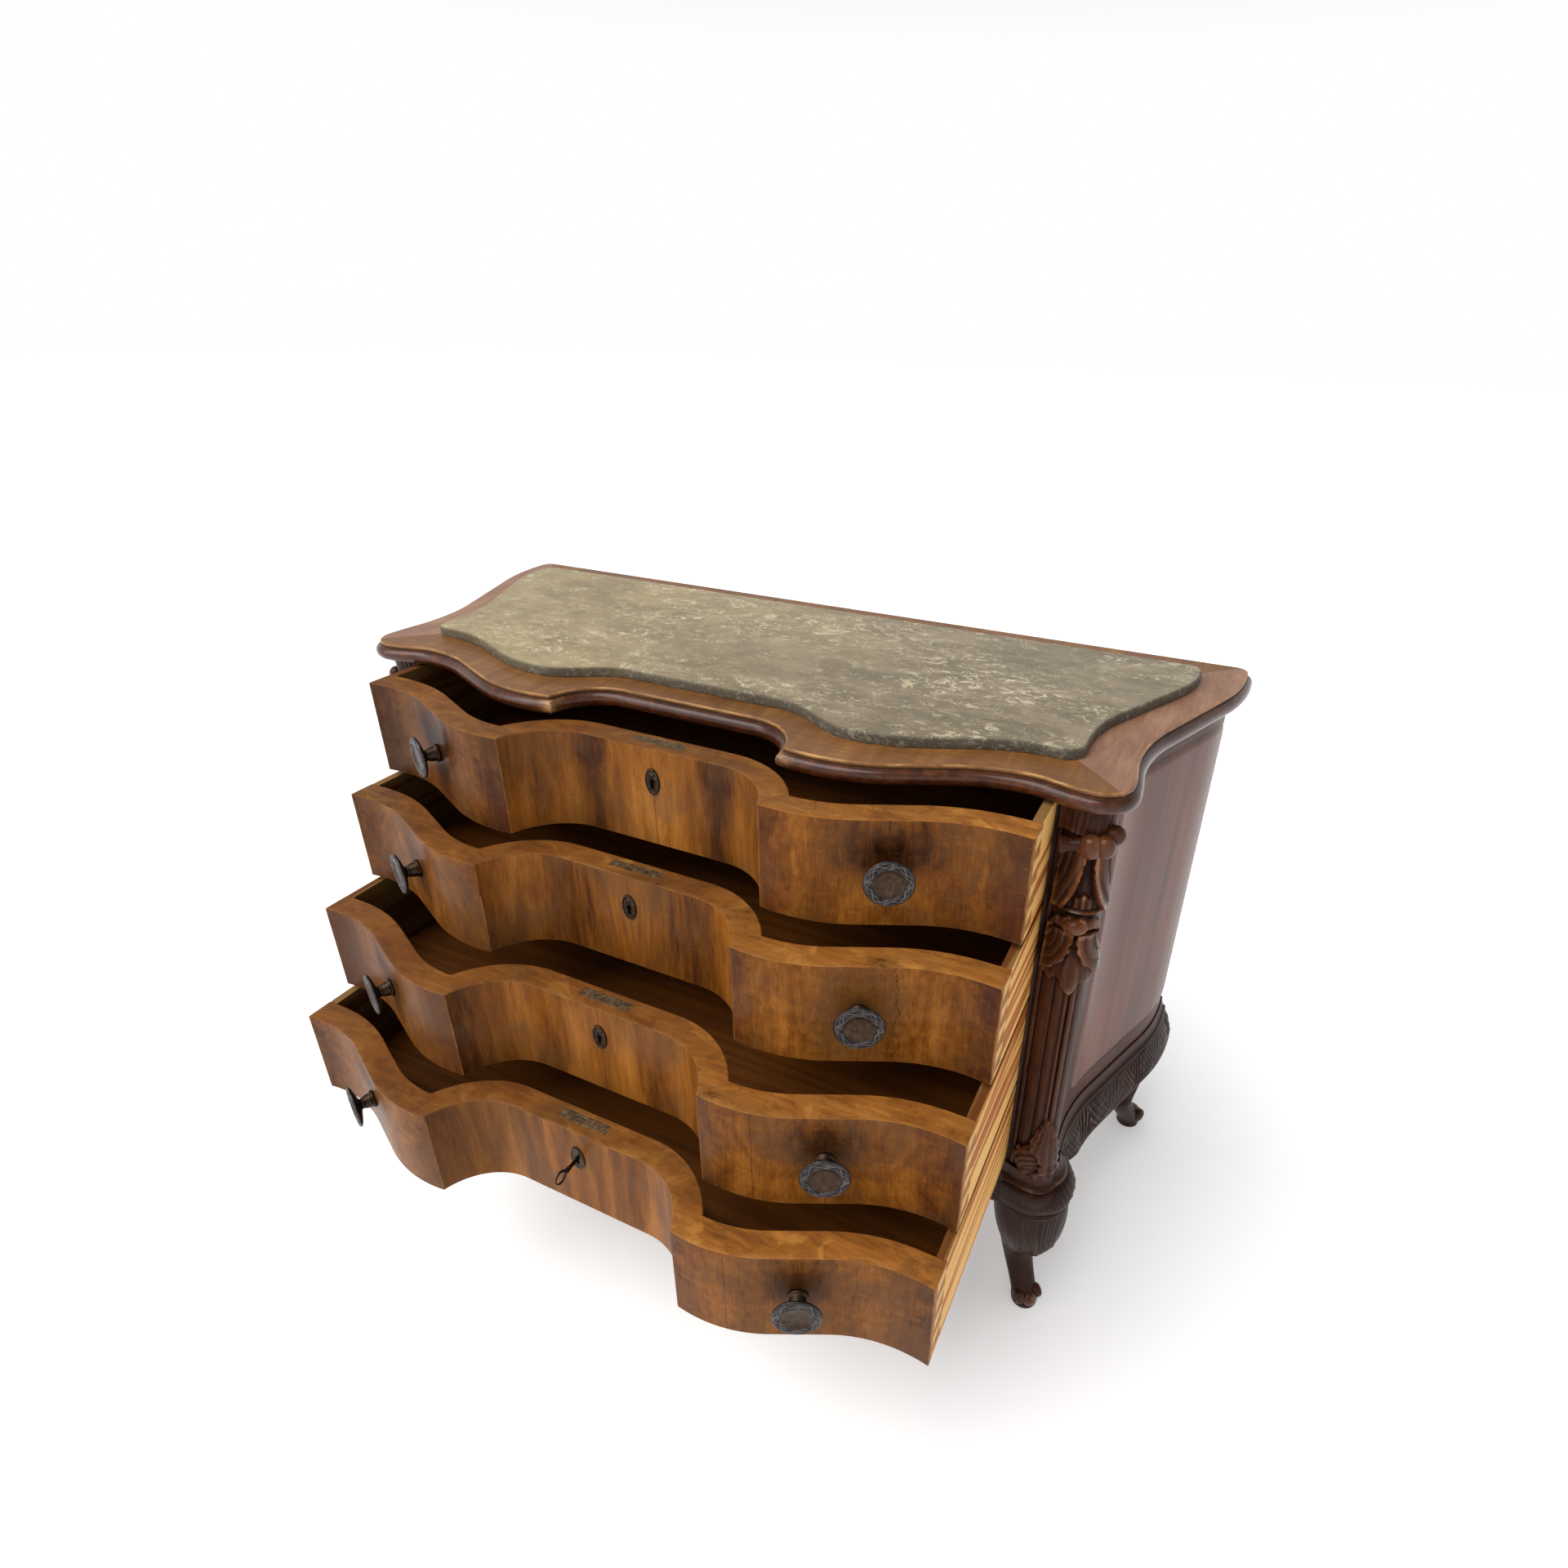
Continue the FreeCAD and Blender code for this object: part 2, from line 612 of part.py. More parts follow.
def make_front_posts():
    """The front corner posts, carved with a scroll, two leaves, flutes and a leaf at the foot."""
    roll_level = case_height - size("roll_drop")
    drop_level = roll_level - size("leaf_length") - size("drop_leaf_gap")
    shaft = padded("post_shaft", [(post_outline(), "0", CASE_HEIGHT)])
    reeded = f"{CASE_HEIGHT} - roll_drop - leaf_length - drop_leaf_gap - drop_leaf_length - foot_leaf_length"
    flutes = []
    for turn in (-1, 0, 1):
        flute = primitive("Cylinder", f"flute_{turn + 1}", Radius="flute_radius", Height=reeded)
        spot = Rotation(UP, turn * size("flute_angle")).multVec(ACROSS * size("corner_radius"))
        flutes.append(on_corner(flute, spot.x, spot.y, size("foot_leaf_length")))
    roll = primitive("Cylinder", "capital_roll", Radius="roll_radius", Height="roll_width")
    on_corner(roll, size("corner_radius"), size("roll_width") / 2, roll_level)
    roll.Placement = roll.Placement * Placement(Vector(), Rotation(ACROSS, QUARTER))
    carving = [roll]
    for side in (LEFT, RIGHT):
        berry = primitive("Sphere", f"berry_{side + 1}", Radius="berry_radius")
        reach = size("corner_radius") + size("roll_radius") - size("berry_radius") / 2
        carving.append(on_corner(berry, reach, size("berry_shift") + side * size("berry_radius"), roll_level))
    carving.append(carved_leaf("capital_leaf", "leaf_length", roll_level))
    carving.append(carved_leaf("drop_leaf", "drop_leaf_length", drop_level))
    carving.append(carved_leaf("foot_leaf", "foot_leaf_length", size("foot_leaf_length")))
    fluted = cut("fluted_shaft", shaft, fuse("flutes", flutes))
    right = keep(fuse("right_front_post", [fluted] + carving), "right_front_post", z=BASE_TOP)
    keep_mirrored("left_front_post", right)


def make_back():
    """The upright boards that close the back, and the posts inside the back corners."""
    inner = f"({FLARE} - panel_thickness)"
    plank = f"({inner} * 2 / {BACK_PLANKS})"
    planks = [
        block(f"plank_{number}", plank, "back_thickness", CASE_HEIGHT, f"{plank} * {number} - {inner}", BACK_FACE)
        for number in range(BACK_PLANKS)
    ]
    keep(group("back_boards", planks), "back_boards", z=BASE_TOP)
    post = block("right_back_post", "back_post_width", "back_post_width", CASE_HEIGHT)
    x = f"{inner} - back_post_clearance - back_post_width"
    keep(post, "right_back_post", x=x, y=f"{BACK_FACE} - back_post_width", z=BASE_TOP)
    keep_mirrored("left_back_post", post)


def make_rails():
    """The thin rails between the drawers, each with the mortise for the bolt below it."""
    rails = []
    outline = apron_outline(size("rail_setback"), bay, size("waist_setback"))
    for level in range(1, len(DRAWERS)):
        plate = padded(f"rail_plate_{level}", [(outline, "0", "runner_thickness")])
        mortise = strike(f"rail_strike_{level}", "runner_thickness + cut_overrun * 2", "-cut_overrun")
        rails.append(place(cut(f"rail_{level}", plate, mortise), "0", "0", f"{PITCH} * {level}"))
    keep(group("drawer_rails", rails), "drawer_rails", z=BASE_TOP)


def make_runners():
    """The runners that carry the drawers, each with an upright guide beside the drawer."""
    top, guide_top = size("runner_thickness"), size("runner_thickness") + size("guide_height")
    inner, outer = size("drawer_width") / 2 - size("runner_width"), bay + size("guide_width")
    points = [(inner, 0), (outer, 0), (outer, guide_top), (bay, guide_top), (bay, top), (inner, top)]
    outline = closed_path([Vector(x, z, 0) for x, z in points])
    runners = []
    for level in range(len(DRAWERS)):
        runner = padded(
            f"runner_{level}", [(outline, f"-{BACK_FACE}", f"{BACK_FACE} - waist_setback")], "XZ_Plane")
        place(runner, "0", "0", f"{PITCH} * {level}")
        runners += [runner, mirror(f"left_runner_{level}", runner)]
    keep(group("drawer_runners", runners), "drawer_runners", z=BASE_TOP)


# The base
def drum(name, clearance, x="0", y="0"):
    """The stepped rings round a front leg's head, from the base moulding's lower edge up."""
    top_step = "base_band_height - base_edge_height"
    rings = [
        ("drum_radius - drum_step", "0", "base_edge_height"),
        ("drum_radius", "base_edge_height", f"{top_step} - base_edge_height"),
        ("drum_radius - drum_step", top_step, "base_edge_height"),
        ("drum_radius - drum_neck", "base_band_height", "base_cove_height"),
    ]
    return [
        rod(f"{name}_ring_{number}", f"{radius} + {clearance}", height, x, y, start)
        for number, (radius, start, height) in enumerate(rings)
    ]


def moulding_layers(strip):
    """The base moulding's steps: a band that spreads towards its foot, and a plain cove over it."""
    foot, edge, cove = (size(f"base_{name}_overhang") for name in ("band", "edge", "cove"))
    layers = [
        (strip(foot + (edge - foot) * step / (BAND_STEPS - 1)), f"base_band_height * {step} / {BAND_STEPS}",
         f"base_band_height / {BAND_STEPS}")
        for step in range(BAND_STEPS)
    ]
    return layers + [(strip(cove), "base_band_height", "base_cove_height")]


def make_base():
    """The base mouldings, the rail at the back and the bottom board, fitted round the front legs."""
    right_seat = fuse("right_seat", drum("seat", "fit_clearance", f"{CORNER} - drum_inset", "drum_setback"))
    seats = fuse("seats", [right_seat, mirror("left_seat", right_seat)])
    front = padded("front_moulding", moulding_layers(front_strip))
    keep(cut("front_base_moulding", front, seats), "front_base_moulding", z="leg_height")
    side = padded("side_moulding", moulding_layers(
        lambda out: side_strip([hip_wave, side_wave], -size("base_inset"), out)))
    right = keep(cut("right_base_moulding", side, right_seat), "right_base_moulding", z="leg_height")
    keep_mirrored("left_base_moulding", right)
    inner = f"({FLARE} - base_inset)"
    rail = block("back_base_rail", f"{inner} * 2", "back_thickness", BASE_HEIGHT)
    keep(rail, "back_base_rail", x=f"-{inner}", y=BACK_FACE, z="leg_height")
    board = padded("floor_board", [(floor_outline(), f"{BASE_HEIGHT} - floor_thickness", "floor_thickness")])
    keep(cut("bottom_board", board, seats), "bottom_board", z="leg_height")


def make_leg(label, knee, x, y, turn, head=()):
    """A leg that swells at its knee, runs out to a slim ankle and stands on a small scroll."""
    sections = []
    for number, (height_share, girth_share, reach_share) in enumerate(LEG_SHARES):
        girth = f"ankle_radius + ({knee} - ankle_radius) * {girth_share}"
        ring = primitive("Circle", f"{label}_section_{number}", Radius=girth)
        sections.append(place(ring, f"toe_reach * {reach_share}", "0", f"leg_height * ({height_share} - 1)"))
    shaft = doc.addObject("Part::Loft", f"{label}_shaft")
    shaft.Sections = sections
    shaft.Solid = True
    shaft.Ruled = True
    scroll = rod(
        f"{label}_scroll", "scroll_radius", "scroll_width",
        "toe_reach + ankle_radius - scroll_radius", "-scroll_width / 2", "scroll_radius - leg_height", BACKWARDS)
    leg = fuse(label, [shaft, scroll, *head])
    leg.Placement = Placement(Vector(), Rotation(UP, turn))
    keep(leg, label, x=x, y=y, z="leg_height")


def make_legs():
    """Two front legs under drums at the corners and two rear legs under the flared sides."""
    front_x, rear_x = f"({CORNER} - drum_inset)", f"({FLARE} - rear_leg_inset)"
    rear_y = f"{CASE_BACK} - rear_leg_setback"
    for label, side, turn in (("right", RIGHT, -EIGHTH), ("left", LEFT, EIGHTH - QUARTER * 2)):
        head = drum(f"{label}_drum", "0")
        make_leg(f"front_{label}_leg", "front_knee_radius", f"{front_x} * {side}", "drum_setback", turn, head)
        make_leg(f"rear_{label}_leg", "rear_knee_radius", f"{rear_x} * {side}", rear_y, -turn)


# The drawers
def turned_knob(name, side):
    """A disc knob on a turned stem, square to the sloping face at the middle of its straight stretch."""
    disc, rim, height = size("knob_radius"), size("knob_disc_thickness"), size("knob_standoff")
    foot, foot_height, stem = size("knob_foot_radius"), size("knob_foot_height"), size("knob_stem_radius")
    points = [(0, 0), (foot, 0), (stem, foot_height)]
    points += [(disc * across, height - rim + rim * up) for across, up in CUP_SHARES] + [(0, height)]
    body = doc.addObject("PartDesign::Body", name)
    outline = closed_path([Vector(x, z, 0) for x, z in points])
    sketch = sketched(body, f"{name}_profile", outline, "XZ_Plane")
    turning = body.newObject("PartDesign::Revolution", f"{name}_turning")
    turning.Profile = sketch
    turning.ReferenceAxis = (sketch, ["V_Axis"])
    turning.Angle = QUARTER * 4
    body.Tip = turning
    middle = (crest + trough) / 2
    facing = Vector(side * math.sin(front_wave.slope), -math.cos(front_wave.slope), 0)
    spot = Vector(side * middle.x, middle.y, size("drawer_height") - size("knob_drop"))
    body.Placement = Placement(spot, Rotation(UP, facing))
    return body


def key_way(name):
    """The keyhole's space, from in front of the plate into the lock's chamber."""
    front = "-(escutcheon_thickness + cut_overrun)"
    length = "escutcheon_thickness + cut_overrun + lock_setback"
    hole = rod(f"{name}_hole", "keyhole_radius", length, "0", front, KEYHOLE, BACKWARDS)
    slot = block(
        f"{name}_slot", "keyhole_width", length, "keyhole_slot", "-keyhole_width / 2", front,
        f"{KEYHOLE} - keyhole_slot")
    return fuse(name, [hole, slot])


def make_lock(name, place_y, place_z):
    """A lock let into the front's upper edge, its bolt and its keyhole plate, and the space that they need."""
    selvedge = centred_block(
        f"{name}_selvedge", "selvedge_length", "selvedge_width", "selvedge_thickness", "lock_setback",
        "drawer_height - selvedge_thickness")
    case = centred_block(
        f"{name}_lock_case", "lock_length", "lock_width", "lock_height", "lock_setback",
        "drawer_height - selvedge_thickness - lock_height")
    way = key_way(f"{name}_keyway")
    body = fuse(f"{name}_lock_body", [selvedge, case])
    slot = centred_block(
        f"{name}_bolt_slot", "bolt_length + bolt_clearance * 2", "bolt_width + bolt_clearance * 2",
        "bolt_height + bolt_clearance + cut_overrun", "lock_setback", "drawer_height - bolt_height - bolt_clearance")
    chamber = rod(
        f"{name}_chamber", "ward_radius", "ward_length", "0", "lock_setback - ward_length / 2", KEYHOLE, BACKWARDS)
    spaces = fuse(f"{name}_lock_spaces", [slot, chamber, way])
    keep(cut(f"{name}_lock", body, spaces), f"{name}_lock", y=place_y, z=place_z)
    bolt = block(f"{name}_lock_bolt", "bolt_length", "bolt_width", "bolt_height")
    keep(
        bolt, f"{name}_lock_bolt", x="-bolt_length / 2", y=f"{place_y} + lock_setback - bolt_width / 2",
        z=f"{place_z} + drawer_height - bolt_height")
    centre = Vector(0, size("drawer_height") - size("keyhole_drop"), 0)
    top, side = BACKWARDS * (size("escutcheon_height") / 2), ACROSS * (size("escutcheon_width") / 2)
    oval = Part.Ellipse(centre + top, centre + side, centre)
    plate = padded(f"{name}_plate", [([oval], "0", "escutcheon_thickness")], "XZ_Plane")
    keep(cut(f"{name}_escutcheon", plate, way), f"{name}_escutcheon", y=place_y, z=place_z)
    return fuse(f"{name}_lock_mortise", [body, way])


def make_drawer(name, level):
    """One drawer: serpentine front, sides, back, bottom, knobs and lock, as far open as photographed."""
    spot = {"y": f"-{name}_opening", "z": f"{FIRST_FLOOR} + {PITCH} * {level}"}
    mortise = make_lock(name, spot["y"], spot["z"])
    blank = padded(f"{name}_blank", [(drawer_front_outline(), "0", "drawer_height")])
    keep(cut(f"{name}_front", blank, mortise), f"{name}_front", **spot)
    side_y = "trough_rise + front_thickness"
    side = block(
        f"{name}_side_board", "side_thickness", f"drawer_length - ({side_y})", "drawer_height",
        "drawer_width / 2 - side_thickness", side_y)
    right = keep(group(f"{name}_right_side", [side]), f"{name}_right_side", **spot)
    keep_mirrored(f"{name}_left_side", right)
    rear = centred_block(
        f"{name}_rear_board", "drawer_width - side_thickness * 2", "rear_thickness",
        "drawer_height - rear_drop - bottom_lift - bottom_thickness", "drawer_length - rear_thickness / 2",
        "bottom_lift + bottom_thickness")
    keep(group(f"{name}_back", [rear]), f"{name}_back", **spot)
    outline = apron_outline(
        size("front_thickness") + size("fit_clearance"), size("drawer_width") / 2 - size("side_thickness"),
        size("drawer_length"))
    bottom = padded(f"{name}_bottom", [(outline, "0", "bottom_thickness")])
    keep(bottom, f"{name}_bottom", y=spot["y"], z=f"{spot['z']} + bottom_lift")
    knobs = [turned_knob(f"{name}_knob_{side + 1}", side) for side in (LEFT, RIGHT)]
    keep(group(f"{name}_knobs", knobs), f"{name}_knobs", **spot)


def make_key():
    """The key in the bottom drawer's lock: a shank, a bit in the chamber and a ring for a bow."""
    shank = rod(
        "key_shank", "keyhole_radius - key_clearance", "key_reach + lock_setback + key_bit_length / 2",
        "0", "-key_reach", KEYHOLE, BACKWARDS)
    bit = centred_block(
        "key_bit", "key_bit_width", "key_bit_length", "key_bit_height", "lock_setback", f"{KEYHOLE} - key_bit_height")
    bow = primitive("Torus", "key_bow", Radius1="key_bow_radius", Radius2="key_wire_radius")
    bow.Placement = Placement(Vector(), Rotation(UP, ACROSS))
    place(bow, "0", "-key_reach - key_bow_radius", KEYHOLE)
    key = fuse("bottom_drawer_key", [shank, bit, bow])
    keep(key, "bottom_drawer_key", y="-bottom_drawer_opening", z=FIRST_FLOOR)


make_top()
make_side_panels()
make_front_posts()
make_back()
make_rails()
make_runners()
make_base()
make_legs()
for level, name in enumerate(DRAWERS):
    make_drawer(name, level)
make_key()
doc.recompute()

# Checks and export
faults = [item.Label for item in doc.Objects if {"Invalid", "Error"} & set(item.State)]
faults += [piece.Label for piece in subparts if piece.Shape.isNull() or not piece.Shape.isValid()]
if faults:
    raise RuntimeError(f"pieces that failed: {faults}")
os.makedirs("parts", exist_ok=True)
whole = FreeCAD.BoundBox()
for piece in subparts:
    piece.Shape.exportStep(f"parts/{piece.Label}.step")
    whole.add(piece.Shape.BoundBox)
    print(piece.Label, len(piece.Shape.Solids), round(piece.Shape.Volume))
print(len(subparts), "sub-parts in", whole)
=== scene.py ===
# %% [markdown]
# # A serpentine chest of drawers
# The chest has four bow-and-hollow drawers between carved corner posts, a moulded wooden top with a
# veined marble slab laid on it, and a carved base on four legs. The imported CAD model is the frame:
# every new surface below sits where a CAD node sits and rides on the same body.

# %% Load the frame
import math
import bpy
import numpy as np
from mathutils import Matrix


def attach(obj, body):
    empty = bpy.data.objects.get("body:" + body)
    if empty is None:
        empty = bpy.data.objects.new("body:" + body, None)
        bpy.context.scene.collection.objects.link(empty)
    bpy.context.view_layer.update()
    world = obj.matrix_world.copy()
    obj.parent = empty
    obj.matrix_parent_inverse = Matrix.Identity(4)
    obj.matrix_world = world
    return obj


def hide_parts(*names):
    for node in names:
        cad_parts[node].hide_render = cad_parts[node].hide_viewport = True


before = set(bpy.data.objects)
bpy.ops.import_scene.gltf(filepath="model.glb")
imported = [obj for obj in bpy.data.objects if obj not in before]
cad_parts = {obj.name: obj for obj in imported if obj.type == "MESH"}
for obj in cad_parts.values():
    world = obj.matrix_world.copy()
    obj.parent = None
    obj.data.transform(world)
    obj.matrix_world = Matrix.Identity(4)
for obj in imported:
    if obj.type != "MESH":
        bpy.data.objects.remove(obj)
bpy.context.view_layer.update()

# %% [markdown]
# ## The photographer's place
# The camera stands in front of the chest's right half, a little above the top, and looks down and to
# the left. It could be aimed by eye with a Track To constraint, but the four drawers' corners fix it
# exactly, so its three directions are written down as the columns of its matrix.

# %% Camera
camera_data = bpy.data.cameras.new("photographers_place")
camera = bpy.data.objects.new("photographers_place", camera_data)
bpy.context.scene.collection.objects.link(camera)
sideways = (0.9084707960, 0.4174820651, 0.0197367199)
upwards = (-0.2085734682, 0.4119363240, 0.8870206161)
backwards = (0.3621849268, -0.8099488813, 0.4613078024)
camera.matrix_world = Matrix((sideways, upwards, backwards)).transposed().to_4x4()
camera.location = (0.6036964, -0.9065002, 1.2977322)
PICTURE_WIDE = 1920                                         # px, and as high
FOCAL, CENTRE_X, CENTRE_Y = 1102.6174528, 1039.4697615, 960.966     # px
camera_data.sensor_width = 36
camera_data.lens = FOCAL * 36 / PICTURE_WIDE
camera_data.shift_x = -(CENTRE_X - PICTURE_WIDE / 2) / PICTURE_WIDE
camera_data.shift_y = (CENTRE_Y - PICTURE_WIDE / 2) / PICTURE_WIDE
camera_data.clip_start = 0.01
bpy.context.scene.camera = camera
print("camera", [round(v, 3) for v in camera.location], "lens", round(camera_data.lens, 2))

# %% [markdown]
# ## The front's plan
# Seen from above, the front is a flat middle, a cove on each side of it that ends in a sharp ridge,
# a round crest, and an S-shaped wave out to a hollow. The same waves go round the corner and along
# the side. A Bezier curve with handles could be drawn over a picture, but every piece of the case
# follows this plan at its own distance, so it is worked out once from arcs and straight runs.

# %% Arcs, runs and waves
SETBACK = 34.0      # mm from the flat of the front to the frame's origin


def at(x, y):
    """A point of the plan in millimetres."""
    return np.array([x, y], float)


ACROSS, FORWARD = at(1, 0), at(0, -1)


def run(start, finish, count):
    """Evenly spaced points on a straight line, without the last one."""
    return start + (finish - start) * (np.arange(count) / count)[:, None]


def arc(centre, start, finish, count):
    """Points on a circle about centre from start to finish the short way, without the last one:
    the centre plus the radius times (cos, sin) of an angle that grows evenly."""
    first, last = start - centre, finish - centre
    turn = math.atan2(first[0] * last[1] - first[1] * last[0], first @ last)
    angle = math.atan2(first[1], first[0]) + turn * np.arange(count) / count
    return centre + np.linalg.norm(first) * np.stack([np.cos(angle), np.sin(angle)], axis=1)


class Wave:
    """An S of two equal arcs joined by a straight run, between two parallel ends."""

    def __init__(self, start, finish, heading, outward, share):
        chord = finish - start
        rise, length = chord @ outward, chord @ heading
        self.start, self.finish, self.heading, self.outward = start, finish, heading, outward
        self.bend = math.copysign(1, rise)
        self.slope = share * math.atan2(abs(rise), length)
        sin, cos = math.sin(self.slope), math.cos(self.slope)
        straight = abs(rise) * sin / (1 - cos) - length
        self.radius = (length - straight * cos) / (2 * sin)
        self.first = start + outward * self.bend * self.radius
        self.second = finish - outward * self.bend * self.radius
        self.lean = heading * sin - outward * self.bend * cos

    def points(self, out, count):
        """The wave moved outwards by out, without its last point."""
        begin, end = self.start + self.outward * out, self.finish + self.outward * out
        leave = self.first + self.lean * (self.radius - self.bend * out)
        meet = self.second - self.lean * (self.radius + self.bend * out)
        return np.concatenate([
            arc(self.first, begin, leave, count), run(leave, meet, count), arc(self.second, meet, end, count)])


# %% [markdown]
# ## The chest's own lines
# On the real chest the drawers, the rails, the posts and the mouldings all repeat one template at
# their own distance from it. A line could be offset point by point, but that kinks at the ridges. Here
# each arc keeps its centre and only its radius changes, and the ridge is where two circles cross.

# %% The lines that the case follows
bay = 461.2         # mm from the middle to the posts' inner faces
crest, trough = at(205.02, -62), at(430.0, 2)
corner_front, corner_centre, corner_side = at(500, -10), at(500, 10), at(520, 10)
waist, flare, case_back = at(515, 80), at(606, 423), 440.0
front_wave = Wave(crest, trough, ACROSS, FORWARD, 1.57)
corner_wave = Wave(trough, corner_front, ACROSS, FORWARD, 1.6)
hip_wave = Wave(corner_side, waist, -FORWARD, ACROSS, 1.6)
side_wave = Wave(waist, flare, -FORWARD, ACROSS, 1.41)
cove_radius, cusp_x = 88.0, 178.48
cusp_y = front_wave.first[1] - math.sqrt(front_wave.radius ** 2 - (crest[0] - cusp_x) ** 2)
cove_turn = math.acos(1 + cusp_y / cove_radius)
cove_centre = at(cusp_x - cove_radius * math.sin(cove_turn), -cove_radius)


def ridge(out):
    """Where the cove's circle and the crest's circle cross, once both have moved outwards by out."""
    near, far = cove_radius - out, front_wave.radius + out
    between = front_wave.first - cove_centre
    gap = np.linalg.norm(between)
    along = (gap ** 2 + near ** 2 - far ** 2) / (2 * gap)
    aside = math.sqrt(near ** 2 - along ** 2)
    towards = between / gap
    return cove_centre + towards * along + at(towards[1], -towards[0]) * aside


def front_half(out, count):
    """The front from its middle to the right hollow: flat, cove, crest and wave, out from the face."""
    start, cove, tip, top = at(0, -out), at(cove_centre[0], -out), ridge(out), crest + FORWARD * out
    return np.concatenate([
        run(start, cove, count), arc(cove_centre, cove, tip, count), arc(front_wave.first, tip, top, count // 2),
        front_wave.points(out, count), [trough + FORWARD * out]])


def both_halves(right):
    """A right half and its mirror image, as one line from left to right."""
    return np.concatenate([right[:0:-1] * at(-1, 1), right])


def all_round(right):
    """A closed plan from its right half, which runs from the front's middle to the back's middle."""
    return np.concatenate([right, (right * at(-1, 1))[-2:0:-1]])


print("slope of the front wave", round(math.degrees(front_wave.slope), 1), "ridge", ridge(0).round(1))

# %% [markdown]
# ## From a grid of points to a mesh
# Every new piece is one or more closed patches: rows and columns of points that are computed as
# arrays. bmesh could add the faces one at a time, but the corner numbers of a grid follow a rule, so
# they too are arrays, and foreach_set hands everything over at once.

# %% Patches
def patch(points, rows_meet=False, columns_meet=False, paint=0, lid_paint=0, **marks):
    """A closed grid. Corners of a face are (row, column), (row, next), (next, next), (next, column);
    open ends get one flat lid each. If the volume they enclose is negative, all faces are turned.
    The paints number the finishes of the grid and of its lids."""
    rows, columns = points.shape[:2]
    row, column = np.meshgrid(
        np.arange(rows if rows_meet else rows - 1),
        np.arange(columns if columns_meet else columns - 1), indexing="ij")
    next_row, next_column = (row + 1) % rows, (column + 1) % columns
    quads = np.stack([
        row * columns + column, row * columns + next_column,
        next_row * columns + next_column, next_row * columns + column], axis=-1).reshape(-1, 4)
    lids = []
    if not rows_meet:
        lids += [np.arange(columns)[::-1], (rows - 1) * columns + np.arange(columns)]
    if not columns_meet:
        lids += [np.arange(rows) * columns, (np.arange(rows) * columns + columns - 1)[::-1]]
    flat = points.reshape(-1, 3)
    fans = [np.stack([np.full(len(lid) - 2, lid[0]), lid[1:-1], lid[2:]], axis=1) for lid in lids]
    triangles = np.concatenate([quads[:, :3], quads[:, [0, 2, 3]], *fans])
    a, b, c = (flat[triangles[:, n]] - flat.mean(axis=0) for n in range(3))
    if np.einsum("ij,ij->i", a, np.cross(b, c)).sum() < 0:
        quads, lids = quads[:, ::-1], [lid[::-1] for lid in lids]
    paints = np.broadcast_to(paint, row.shape).reshape(-1)
    marks = {name: np.broadcast_to(
        mark, points.shape[:2] + np.shape(mark)[2:]).reshape(len(flat), -1) for name, mark in marks.items()}
    return {"points": flat, "quads": quads, "lids": lids, "paints": paints, "lid_paint": lid_paint, "marks": marks}


# %% [markdown]
# ## From patches to a piece
# A post or a lock is several closed shapes that were made apart and then joined. They could be joined
# in the viewport, but one function that stacks their arrays also hands over their finishes and marks,
# and says which body the piece rides on and which CAD node it stands for.

# %% Pieces
def piece(name, patches, finishes, body="carcass", nodes=(), sharp=38):
    """Joins patches into one object. Points are in millimetres of the plan, and the object stays at
    the origin. It rides on a body and stands for the CAD nodes that are named."""
    counts = np.cumsum([0] + [len(p["points"]) for p in patches])
    points = np.concatenate([p["points"] for p in patches]) - np.array([0, SETBACK, 0])
    quads = [(p["quads"] + n).ravel() for p, n in zip(patches, counts)]
    lids = [lid + n for p, n in zip(patches, counts) for lid in p["lids"]]
    loops = np.concatenate(quads + lids)
    quad_count = sum(len(q) for q in quads) // 4
    sizes = np.concatenate([np.full(quad_count, 4), [len(lid) for lid in lids]]).astype(int)
    mesh = bpy.data.meshes.new(name)
    mesh.vertices.add(len(points))
    mesh.vertices.foreach_set("co", (points * 0.001).ravel())
    mesh.loops.add(len(loops))
    mesh.loops.foreach_set("vertex_index", loops.astype(np.int32))
    mesh.polygons.add(len(sizes))
    mesh.polygons.foreach_set("loop_start", np.concatenate([[0], np.cumsum(sizes)[:-1]]).astype(np.int32))
    paints = [p["paints"] for p in patches] + [np.full(len(p["lids"]), p["lid_paint"]) for p in patches]
    mesh.polygons.foreach_set("material_index", np.concatenate(paints).astype(np.int32))
    smooth = np.arange(len(sizes)) < quad_count
    mesh.polygons.foreach_set("use_smooth", smooth)
    for mark in sorted({mark for p in patches for mark in p["marks"]}):
        width = max(p["marks"][mark].shape[1] for p in patches if mark in p["marks"])
        values = np.concatenate([p["marks"].get(mark, np.zeros((len(p["points"]), width))) for p in patches])
        layer = mesh.attributes.new(mark, "FLOAT" if width == 1 else "FLOAT_VECTOR", "POINT")
        layer.data.foreach_set("value" if width == 1 else "vector", values.astype(np.float32).ravel())
    mesh.update(calc_edges=True)
    mesh.set_sharp_from_angle(angle=math.radians(sharp))
    mesh.polygons.foreach_set("use_smooth", smooth)
    for finish in finishes:
        mesh.materials.append(finish)
    made = bpy.data.objects.new(name, mesh)
    bpy.context.scene.collection.objects.link(made)
    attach(made, body)
    if nodes:
        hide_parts(*nodes)
    print(f"{name}: {len(points)} points, {len(sizes)} faces")
    return made


# %% [markdown]
# ## Small tools for lines and heights
# A moulding plane runs one profile along a line, and a hand's work is never quite even. Modifiers could
# do both, but then the marks that the finishes read would not follow, so a few small sums stand in.

# %% Sweeps, soft steps and unevenness
def lifted(plan, height):
    """Plan points with a height added."""
    heights = np.broadcast_to(np.asarray(height, float), plan.shape[:-1])
    return np.concatenate([plan, heights[..., None]], axis=-1)


